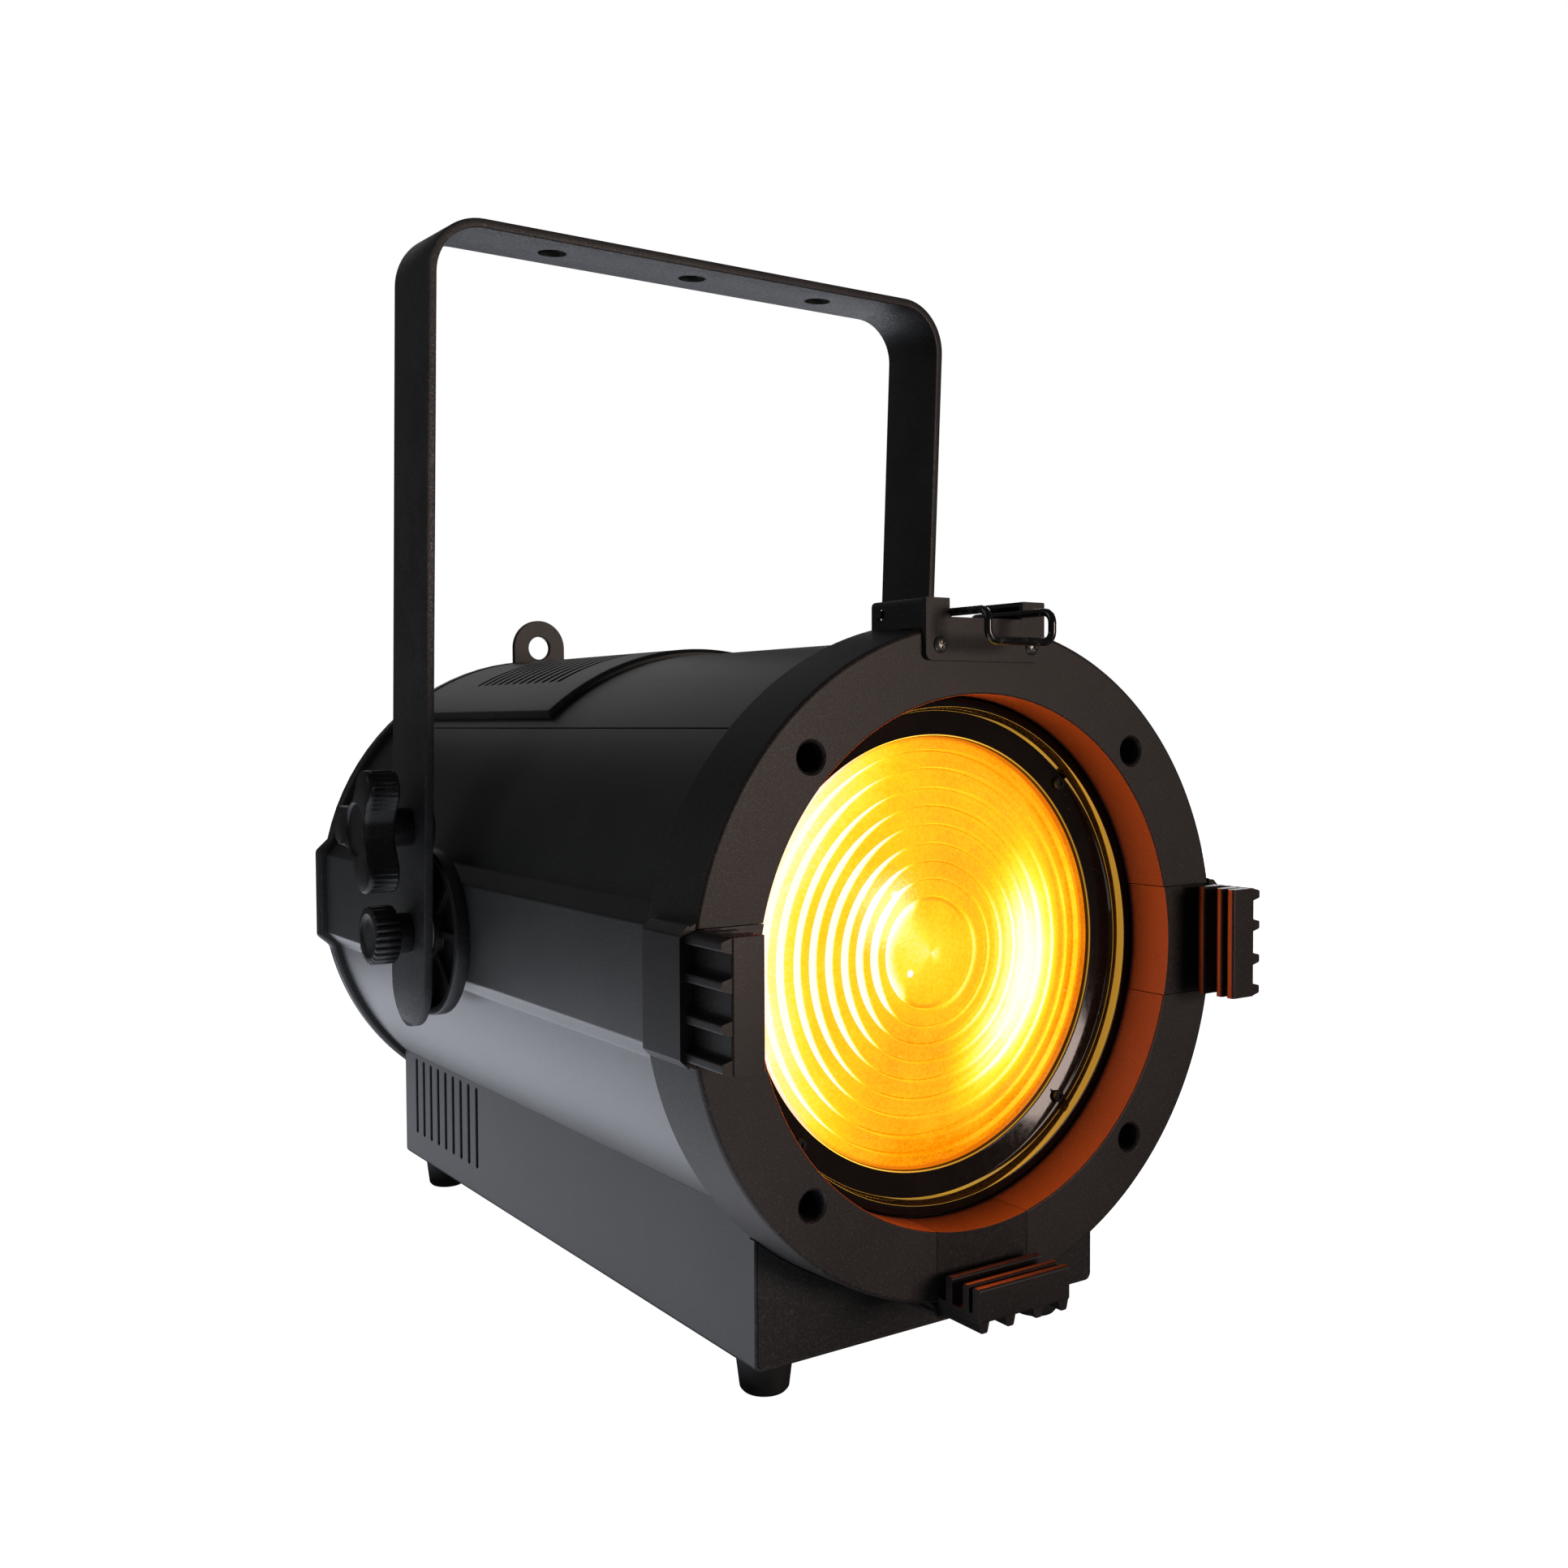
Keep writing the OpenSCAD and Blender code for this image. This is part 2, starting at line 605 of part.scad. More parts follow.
module fan_frame() seat() translate([0, 0, fan_z]) color("#202022") difference() {
  slab_y(bulkhead_y + 3, bulkhead_y + 28) difference() {
    square(119, center = true);
    for (sx = sides, sz = sides) translate([sx * 52.5, sz * 52.5]) circle(2.2);
  }
  difference() {
    rod_y(0, 0, bulkhead_y, bulkhead_y + 30, 57);
    rod_y(0, 0, bulkhead_y + 25, bulkhead_y + 28, 19);
    for (a = [45, 135]) rotate([0, a, 0]) box([-58, bulkhead_y + 25, -2], [58, bulkhead_y + 28, 2]);
  }
}

fan_blades = 9;
module fan_rotor() seat() translate([0, bulkhead_y + 5, fan_z]) color("#2a2a2c") {
  rod_y(0, 0, 0, 19, 19);
  for (i = [0 : fan_blades - 1]) rotate([0, i * 360 / fan_blades, 0])
    translate([18.5, 9.5, 0]) rotate([32, 0, 0]) box([0, -8.5, -0.8], [36.5, 8.5, 0.8]);
}

module fan_grille() seat() translate([0, 0, fan_z]) color("#2f2f30") {
  slab_y(rear_y - 3, rear_y - 1) difference() { circle(51.9); circle(48.5); }
  for (r = [12 : 9 : 48]) slab_y(rear_y - 3, rear_y - 1) difference() { circle(r); circle(r - 1.8); }
  for (a = [45, 135]) rotate([0, a, 0]) box([-50, rear_y - 4.5, -1.5], [50, rear_y - 3 + eps, 1.5]);
}

// ---------- rear controls ----------

panel_face = rear_y - 2;
button_x = [14, 27, 40, 53];

module control_panel() seat() color("#151516") difference() {
  box([-65.9, panel_face - 4, -78.9], [65.9, panel_face, -47.1]);
  box([-56, panel_face - 3, -74], [0, panel_face + 1, -52]);
  for (x = button_x) rod_y(x, -63, panel_face - 5, panel_face + 1, 4.1);
}

module display_window() seat() color("#1d3a52") box([-55.9, panel_face - 3, -73.9], [-0.1, panel_face - 0.3, -52.1]);

module push_button(i) seat() color("#5c5c5e") {
  rod_y(button_x[i], -63, panel_face - 3.8, panel_face + 2.4, 4);
  rod_y(button_x[i], -63, panel_face - 7, panel_face - 5.6, 5);
  rod_y(button_x[i], -63, panel_face - 5.7, panel_face - 3.7, 3);
}

module button_menu() push_button(0);
module button_down() push_button(1);
module button_up() push_button(2);
module button_enter() push_button(3);

module power_inlet() seat() color("#161617") difference() {
  union() {
    box([-13.5, 352, inlet_z - 9.2], [13.5, base_rear_y, inlet_z + 9.2]);
    box([-17, base_rear_y, inlet_z - 10.8], [17, base_rear_y + 2, inlet_z + 10.8]);
  }
  box([-11.5, 358, inlet_z - 7.5], [11.5, base_rear_y + 3, inlet_z + 7.5]);
}

module fuse_holder() seat() color("#1a1a1b") {
  rod_y(fuse_x, socket_z, 350, base_rear_y, 6);
  rod_y(fuse_x, socket_z, base_rear_y, base_rear_y + 2.6, 7.5);
}

module data_sockets() seat() color("#3b3b3d") for (x = data_x) difference() {
  union() {
    rod_y(x, socket_z, 352, base_rear_y, 10);
    rod_y(x, socket_z, base_rear_y, base_rear_y + 1.5, 11.2);
  }
  rod_y(x, socket_z, 360, base_rear_y + 2, 8.2);
}

module power_supply() seat() color("#a4a7a9") box([-70, 60, -141.4], [70, 215, -125.5]);

module driver_board() seat() color("#1f5a36") {
  box([-60, 232, -136], [60, 335, -134.4]);
  for (x = [-40, -10, 25]) box([x, 250, -134.5], [x + 18, 290, -126]);
  for (sx = sides, y = [237, 330]) translate([sx * 55, y, -142.3]) cylinder(h = 6.4, r = 3);
}

front_ring();
holder_left();
holder_right();
holder_bottom();
ring_screws();
gate_bracket();
bracket_screws();
gate_bail();
lens();
lens_seal();
lens_retainer();
retainer_screws();
housing_shell();
top_shell();
vent_cover();
rear_cover();
rear_screws();
safety_eye();
base_channel();
base_front_panel();
base_rear_panel();
base_screws();
rubber_feet();
pivot_disc_left();
pivot_disc_right();
pivot_bolt_left();
pivot_bolt_right();
yoke();
pivot_washers();
brake_pads();
tilt_knob_left();
tilt_knob_right();
pivot_knob_left();
pivot_knob_right();
front_bulkhead();
rear_bulkhead();
guide_rods();
light_carriage();
rod_bushes();
heat_sink();
led_board();
led_emitter();
reflector();
lead_screw();
focus_knob();
fan_frame();
fan_rotor();
fan_grille();
control_panel();
display_window();
button_menu();
button_down();
button_up();
button_enter();
power_inlet();
fuse_holder();
data_sockets();
power_supply();
driver_board();
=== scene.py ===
"""Looks of a fresnel spotlight on a yoke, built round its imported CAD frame.

Shapes are drawn in lamp millimetres: the origin is the centre of the front ring's face,
x runs across, y back into the lamp and z up. place() turns them into the row frame.
"""

import json
import math

import bmesh
import bpy
import numpy as np
from mathutils import Matrix, Vector


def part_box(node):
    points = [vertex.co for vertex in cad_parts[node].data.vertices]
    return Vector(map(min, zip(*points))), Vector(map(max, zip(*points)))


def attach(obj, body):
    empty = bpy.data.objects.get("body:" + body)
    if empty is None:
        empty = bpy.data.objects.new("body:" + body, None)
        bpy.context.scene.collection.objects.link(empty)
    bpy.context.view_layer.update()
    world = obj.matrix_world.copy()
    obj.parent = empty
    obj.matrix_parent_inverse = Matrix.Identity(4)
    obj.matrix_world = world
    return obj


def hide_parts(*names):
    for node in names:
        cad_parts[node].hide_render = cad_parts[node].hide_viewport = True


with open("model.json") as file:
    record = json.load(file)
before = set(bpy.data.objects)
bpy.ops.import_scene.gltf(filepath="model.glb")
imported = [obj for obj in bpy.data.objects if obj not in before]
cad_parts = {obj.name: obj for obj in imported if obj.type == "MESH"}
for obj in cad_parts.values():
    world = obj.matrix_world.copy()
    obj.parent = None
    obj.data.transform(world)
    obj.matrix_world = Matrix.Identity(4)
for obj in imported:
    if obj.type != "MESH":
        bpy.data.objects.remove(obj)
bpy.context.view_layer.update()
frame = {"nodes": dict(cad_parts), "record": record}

# ---------- sizes, in millimetres ----------

RING_R, RING_TAPER, RING_DEPTH, BORE_R = 125.0, 1.5, 30.0, 99.0
RING_SCREW_R, RETAINER_SCREW_R = 109.0, 90.5
RING_BACK, SPIGOT_R, LENS_SEAT_R = 42.0, 118.3, 86.2
BODY_R, SHEET, BODY_FRONT, BODY_BACK = 120.8, 1.5, 30.1, 380.0
BAND_X, BAND_TOP, BAND_LOW = 124.0, 20.5, -21.0
BAND_ROOT_X, BAND_ROOT_Z = 117.6, 27.5
SEAM_DEG, VENT_DEG, VENT_SLOT_DEG = 44.0, 41.0, 29.0
VENT_R, VENT_FRONT, VENT_SLOTS, VENT_PITCH, VENT_SLOT_W = 124.0, 198.0, 12, 8.6, 4.0
REAR_Y, REAR_GROW, LAP_DEG = 388.0, 3.7, 3.0
BASE_X, BASE_Z, BASE_FRONT, BASE_BACK = 83.5, 143.9, 27.5, 377.0
BASE_SLOTS, BASE_SLOT_PITCH, BASE_SLOT_W = 9, 10.1, 3.0
FOOT_X, FOOT_Y, FOOT_H = 68.0, (45.0, 358.0), 15.1
PIVOT = np.array([0.0, 223.0, -2.5])
LEAN_DEG, STRAP_W, STRAP_T, YOKE_X, YOKE_H, YOKE_BEND = 3.0, 40.0, 4.0, 137.8, 305.8, 25.0
TILT_KNOB_UP, TILT_KNOB_R = 46.5, 29.0
HOLDER_HALF, HOLDER_OUT = 21.8, 23.0
LENS_R, LENS_CURVE, LENS_FRONT, LENS_BACK = 85.0, 150.0, 30.2, 38.0
LENS_ZONES = (0.0, 0.256, 0.34, 0.42, 0.5, 0.585, 0.67, 0.75, 0.84, 0.92, 0.982)
FAN_Z, FOCUS_Z, PANEL_FACE = 28.0, -98.0, 386.0
SIDES = (-1, 1)

ring_low, ring_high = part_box("front_ring")
ORIGIN = np.array([0.0, ring_low.y, (ring_low.z + ring_high.z) / 2])

# ---------- shape functions ----------


def place(points):
    """Lamp millimetres to the row frame's metres: divide by 1000 and add the ring's centre."""
    return np.asarray(points, float) / 1000 + ORIGIN


def rounded(points, radii, steps=5, closed=True):
    """Each corner becomes an arc of its radius: the arc's two end vectors from its centre are
    mixed by sin((1-t)a)/sin a and sin(ta)/sin a, which keeps their length."""
    points = np.asarray(points, float)
    count = len(points)
    radii = np.broadcast_to(np.asarray(radii, float), (count,))
    out = []
    for i, corner in enumerate(points):
        if radii[i] <= 0 or (not closed and i in (0, count - 1)):
            out.append(corner[None])
            continue
        back = points[i - 1] - corner
        ahead = points[(i + 1) % count] - corner
        room = 0.49 * min(np.linalg.norm(back), np.linalg.norm(ahead))
        back, ahead = back / np.linalg.norm(back), ahead / np.linalg.norm(ahead)
        half = math.acos(np.clip(back @ ahead, -1, 1)) / 2
        if half > 1.56:
            out.append(corner[None])
            continue
        reach = min(radii[i] / math.tan(half), room)
        radius = reach * math.tan(half)
        middle = (back + ahead) / np.linalg.norm(back + ahead)
        centre = corner + middle * radius / math.sin(half)
        turn = math.pi - 2 * half
        t = np.linspace(0, 1, steps)[:, None]
        start, end = corner + back * reach - centre, corner + ahead * reach - centre
        out.append(centre + (np.sin((1 - t) * turn) * start + np.sin(t * turn) * end) / math.sin(turn))
    return np.vstack(out)


def grid(points, wrap_u=False, wrap_v=False):
    """A sheet from points[u, v]: each cell is one four-sided face; wrapping joins last to first."""
    points = np.asarray(points, float)
    rows, cols = points.shape[:2]
    u = np.arange(rows if wrap_u else rows - 1)[:, None]
    v = np.arange(cols if wrap_v else cols - 1)[None]
    u2, v2 = (u + 1) % rows, (v + 1) % cols
    faces = np.stack([u * cols + v, u2 * cols + v, u2 * cols + v2, u * cols + v2], -1).reshape(-1, 4)
    return points.reshape(-1, 3), faces.tolist()


def lathe(profile, axis="y", centre=(0, 0, 0), turns=192, closed=True):
    """The profile's (radius, height) points carried round an axis: the two cross directions get
    radius times cosine and sine of the turn angle."""
    profile = np.asarray(profile, float)
    angle = np.linspace(0, 2 * math.pi, turns, endpoint=False)[:, None]
    a, b = profile[:, 0] * np.cos(angle), profile[:, 0] * np.sin(angle)
    h = np.broadcast_to(profile[:, 1], a.shape)
    stack = {"x": (h, a, b), "y": (a, h, b), "z": (a, b, h)}[axis]
    return grid(np.stack(stack, -1) + np.asarray(centre, float), True, closed)


def cylinder(radius, low, high, axis="y", centre=(0, 0, 0), turns=48):
    """A round plug from low to high along the axis, used to cut holes."""
    return lathe([(0, low), (radius, low), (radius, high), (0, high)], axis, centre, turns, closed=False)


def prism(outline, low, high, axis="y"):
    """A flat outline carried from low to high along the axis, with a face on each end."""
    outline = np.asarray(outline, float)
    a, b = outline.T
    count = len(outline)
    ends = []
    for h in (low, high):
        h = np.full(count, float(h))
        ends.append(np.stack({"x": (h, a, b), "y": (a, h, b), "z": (a, b, h)}[axis], -1))
    points, faces = grid(np.stack(ends), wrap_v=True)
    return points, faces + [list(range(count)), list(range(count, 2 * count))]


def cuboid(low, high):
    """The block between two corners."""
    (x0, y0, z0), (x1, y1, z1) = low, high
    return prism([(x0, z0), (x1, z0), (x1, z1), (x0, z1)], y0, y1)


def strip(outer, inner, y0, y1):
    """Bent sheet metal: an outer and an inner line carried along y, closed at all four edges."""
    corners = ((outer, y0), (outer, y1), (inner, y1), (inner, y0))
    rails = [np.insert(line, 1, y, axis=1) for line, y in corners]
    points, faces = grid(np.stack(rails, 1), wrap_v=True)
    last = 4 * (len(outer) - 1)
    return points, faces + [[0, 1, 2, 3], [last, last + 1, last + 2, last + 3]]


def tube(path, radius, sides=16):
    """A round bar along a path: each ring lies across the path's direction, and its first
    cross direction is carried on from the ring before."""
    path = np.asarray(path, float)
    along = np.gradient(path, axis=0)
    along /= np.linalg.norm(along, axis=1)[:, None]
    side = np.cross(along[0], (0.3, 0.5, 0.8))
    firsts = []
    for direction in along:
        side = side - (side @ direction) * direction
        side /= np.linalg.norm(side)
        firsts.append(side)
    firsts = np.array(firsts)
    seconds = np.cross(along, firsts)
    angle = np.linspace(0, 2 * math.pi, sides, endpoint=False)[None, :, None]
    rings = path[:, None] + radius * (np.cos(angle) * firsts[:, None] + np.sin(angle) * seconds[:, None])
    points, faces = grid(rings, wrap_v=True)
    count = len(points)
    return points, faces + [list(range(sides)), list(range(count - sides, count))]


def joined(*shells):
    """Several closed shapes as one list of points and one list of faces."""
    points, faces, start = [], [], 0
    for shell_points, shell_faces in shells:
        points.append(np.asarray(shell_points, float))
        faces += [[i + start for i in face] for face in shell_faces]
        start += len(shell_points)
    return np.vstack(points), faces


def moved(shell, offset=(0, 0, 0), turn_y=0.0, mirror_x=False):
    """A shape turned about y by a degree count, mirrored, then shifted."""
    points = np.array(shell[0], float)
    c, s = math.cos(math.radians(turn_y)), math.sin(math.radians(turn_y))
    x, z = points[:, 0].copy(), points[:, 2].copy()
    points[:, 0], points[:, 2] = x * c + z * s, z * c - x * s
    if mirror_x:
        points[:, 0] *= -1
    return points + np.asarray(offset, float), shell[1]


def leaned(shell):
    """Pivot coordinates to lamp coordinates: a turn about x by the yoke's lean, then a shift."""
    points = np.array(shell[0], float)
    c, s = math.cos(math.radians(LEAN_DEG)), math.sin(math.radians(LEAN_DEG))
    y, z = points[:, 1].copy(), points[:, 2].copy()
    points[:, 1], points[:, 2] = y * c - z * s, y * s + z * c
    return points + PIVOT, shell[1]


def heal(mesh):
    """Merges doubles, drops empty faces and turns every face outwards."""
    work = bmesh.new()
    work.from_mesh(mesh)
    bmesh.ops.remove_doubles(work, verts=work.verts, dist=2e-6)
    bmesh.ops.dissolve_degenerate(work, edges=work.edges, dist=1e-6)
    bmesh.ops.recalc_face_normals(work, faces=work.faces)
    work.to_mesh(mesh)
    work.free()


def mesh_object(name, shell):
    """A mesh object at the origin, with its place in its vertices."""
    mesh = bpy.data.meshes.new(name)
    mesh.from_pydata(place(shell[0]).tolist(), [], shell[1])
    heal(mesh)
    made = bpy.data.objects.new(name, mesh)
    bpy.context.scene.collection.objects.link(made)
    return made


def combined(target, shell, operation="DIFFERENCE"):
    """Cuts the shape from the target, or adds it, and keeps the result as the target's mesh."""
    tool = mesh_object(target.name + "_tool", shell)
    change = target.modifiers.new("combine", "BOOLEAN")
    change.operation, change.solver, change.object = operation, "EXACT", tool
    change.use_self = True
    graph = bpy.context.evaluated_depsgraph_get()
    result = bpy.data.meshes.new_from_object(target.evaluated_get(graph))
    target.modifiers.clear()
    target.data = result
    bpy.data.objects.remove(tool)
    heal(result)
    return target


def piece(name, shell, body, nodes, slot, cuts=None, adds=None, bevel=0.0, smooth=32.0):
    """A finished piece: cut and added shapes, rounded edges, smooth faces, body, slot."""
    made = mesh_object(name, shell)
    if adds is not None:
        combined(made, adds, "UNION")
    if cuts is not None:
        combined(made, cuts)
    made.data.polygons.foreach_set("use_smooth", [True] * len(made.data.polygons))
    made.data.set_sharp_from_angle(angle=math.radians(smooth))
    if bevel:
        edge = made.modifiers.new("edge", "BEVEL")
        edge.width, edge.segments, edge.limit_method = bevel / 1000, 2, "ANGLE"
        edge.angle_limit, edge.use_clamp_overlap = math.radians(smooth), True
        edge.miter_outer = "MITER_ARC"
        weigh = made.modifiers.new("normals", "WEIGHTED_NORMAL")
        weigh.keep_sharp = True
    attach(made, body)
    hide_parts(*nodes)
    made.data.materials.append(MATERIALS[slot])
    return made


# ---------- materials ----------


def linear(colour):
    """sRGB hex to linear: c/12.92 below 0.04045, else ((c + 0.055)/1.055) to the power 2.4."""
    parts = [int(colour[i : i + 2], 16) / 255 for i in (1, 3, 5)]
    return tuple(c / 12.92 if c <= 0.04045 else ((c + 0.055) / 1.055) ** 2.4 for c in parts) + (1.0,)


def add(tree, kind, inputs=None, ramp=None, **settings):
    """One node with its settings, its input values or links, and its ramp's colour stops."""
    made = tree.nodes.new("ShaderNode" + kind)
    for key, value in settings.items():
        setattr(made, key, value)
    for key, value in (inputs or {}).items():
        if isinstance(value, bpy.types.NodeSocket):
            tree.links.new(value, made.inputs[key])
        else:
            made.inputs[key].default_value = value
    if ramp:
        stops = made.color_ramp.elements
        while len(stops) < len(ramp):
            stops.new(0.5)
        for stop, (position, colour) in zip(stops, ramp):
            stop.position = position
            stop.color = linear(colour) if isinstance(colour, str) else (colour,) * 3 + (1.0,)
    return made


def new_tree(name):
    """An empty node material, its tree, its Object coordinates and its shader."""
    material = bpy.data.materials.new(name)
    material.use_nodes = True
    tree = material.node_tree
    tree.nodes.clear()
    shader = add(tree, "BsdfPrincipled")
    out = add(tree, "OutputMaterial", {"Surface": shader.outputs["BSDF"]})
    return material, tree, add(tree, "TexCoord").outputs["Object"], shader, out


def per_mm(size):
    """Texture scale for a feature of that many millimetres, on coordinates in metres."""
    return 1000 / size


def surface(name, light, dark, patch=35.0, grain=0.7, depth=0.06, rough=(0.4, 0.55), metallic=0.0,
            wear="#8a8a88", worn=0.0, edge=0.5, dust=0.0, lines=None, coat=0.0):
    """A solid finish: two tones in patches, grain as bump and roughness, worn edges and dust.

    patch, grain and edge are millimetres, depth is the bump's height in millimetres, and
    lines = (x, y, z) stretches the grain along one axis, as brushing or drawing does.
    """
    material, tree, place_at, shader, _ = new_tree(name)
    spot = place_at
    if lines:
        spot = add(tree, "Mapping", {"Vector": place_at, "Scale": lines}).outputs["Vector"]
    patches = add(tree, "TexNoise", {"Vector": place_at, "Scale": per_mm(patch), "Detail": 4.0,
                                     "Roughness": 0.6})
    grains = add(tree, "TexNoise", {"Vector": spot, "Scale": per_mm(grain), "Detail": 2.0,
                                    "Roughness": 0.7})
    tone = add(tree, "ValToRGB", {"Fac": patches.outputs["Fac"]}, ramp=[(0.35, dark), (0.68, light)])
    fleck = add(tree, "MapRange", {"Value": grains.outputs["Fac"], "From Min": 0.56, "From Max": 0.78,
                                   "To Min": 0.0, "To Max": 0.35})
    mixed = add(tree, "MixRGB", {"Fac": fleck.outputs["Result"], "Color1": tone.outputs["Color"],
                                 "Color2": linear(wear)})
    colour = mixed.outputs["Color"]
    if worn:
        round_normal = add(tree, "Bevel", {"Radius": edge / 1000}, samples=4)
        flat = add(tree, "NewGeometry")
        facing = add(tree, "VectorMath", {0: round_normal.outputs["Normal"], 1: flat.outputs["Normal"]},
                     operation="DOT_PRODUCT")
        rim = add(tree, "MapRange", {"Value": facing.outputs["Value"], "From Min": 0.99, "From Max": 0.86,
                                     "To Min": 0.0, "To Max": 1.0})
        rub = add(tree, "TexNoise", {"Vector": place_at, "Scale": per_mm(9.0), "Detail": 5.0,
                                     "Roughness": 0.7})
        patchy = add(tree, "MapRange", {"Value": rub.outputs["Fac"], "From Min": 0.42, "From Max": 0.68,
                                        "To Min": 0.0, "To Max": worn})
        amount = add(tree, "Math", {0: rim.outputs["Result"], 1: patchy.outputs["Result"]},
                     operation="MULTIPLY")
        worn_mix = add(tree, "MixRGB", {"Fac": amount.outputs["Value"], "Color1": colour,
                                        "Color2": linear(wear)})
        colour = worn_mix.outputs["Color"]
    if dust:
        dots = add(tree, "TexVoronoi", {"Vector": place_at, "Scale": per_mm(7.0), "Randomness": 1.0})
        near = add(tree, "MapRange", {"Value": dots.outputs["Distance"], "From Min": 0.045, "From Max": 0.02,
                                      "To Min": 0.0, "To Max": dust})
        dusted = add(tree, "MixRGB", {"Fac": near.outputs["Result"], "Color1": colour,
                                      "Color2": linear("#b9b7b2")})
        colour = dusted.outputs["Color"]
    tree.links.new(colour, shader.inputs["Base Color"])
    finish = add(tree, "MapRange", {"Value": grains.outputs["Fac"], "From Min": 0.3, "From Max": 0.7,
                                    "To Min": rough[0], "To Max": rough[1]})
    tree.links.new(finish.outputs["Result"], shader.inputs["Roughness"])
    bump = add(tree, "Bump", {"Height": grains.outputs["Fac"], "Strength": 1.0, "Distance": depth / 1000})
    tree.links.new(bump.outputs["Normal"], shader.inputs["Normal"])
    shader.inputs["Metallic"].default_value = metallic
    shader.inputs["Coat Weight"].default_value = coat
    shader.inputs["Coat Roughness"].default_value = 0.12
    return material


def wire(tree, known, rows):
    """Adds the rows' nodes in order: a row is a name, a kind, its settings and its inputs by
    place, and an input that is a name takes that row's result."""
    for name, kind, settings, inputs in rows:
        links = {i: known[v] if isinstance(v, str) else v for i, v in enumerate(inputs)}
        made = add(tree, kind, links, **settings)
        known[name] = next(out for out in made.outputs if out.enabled)


SOFT = {"interpolation_type": "SMOOTHSTEP"}
TIMES, PLUS, MOST = ({"operation": kind} for kind in ("MULTIPLY", "ADD", "MAXIMUM"))
DOT, SPAN = {"operation": "DOT_PRODUCT"}, {"operation": "DISTANCE"}


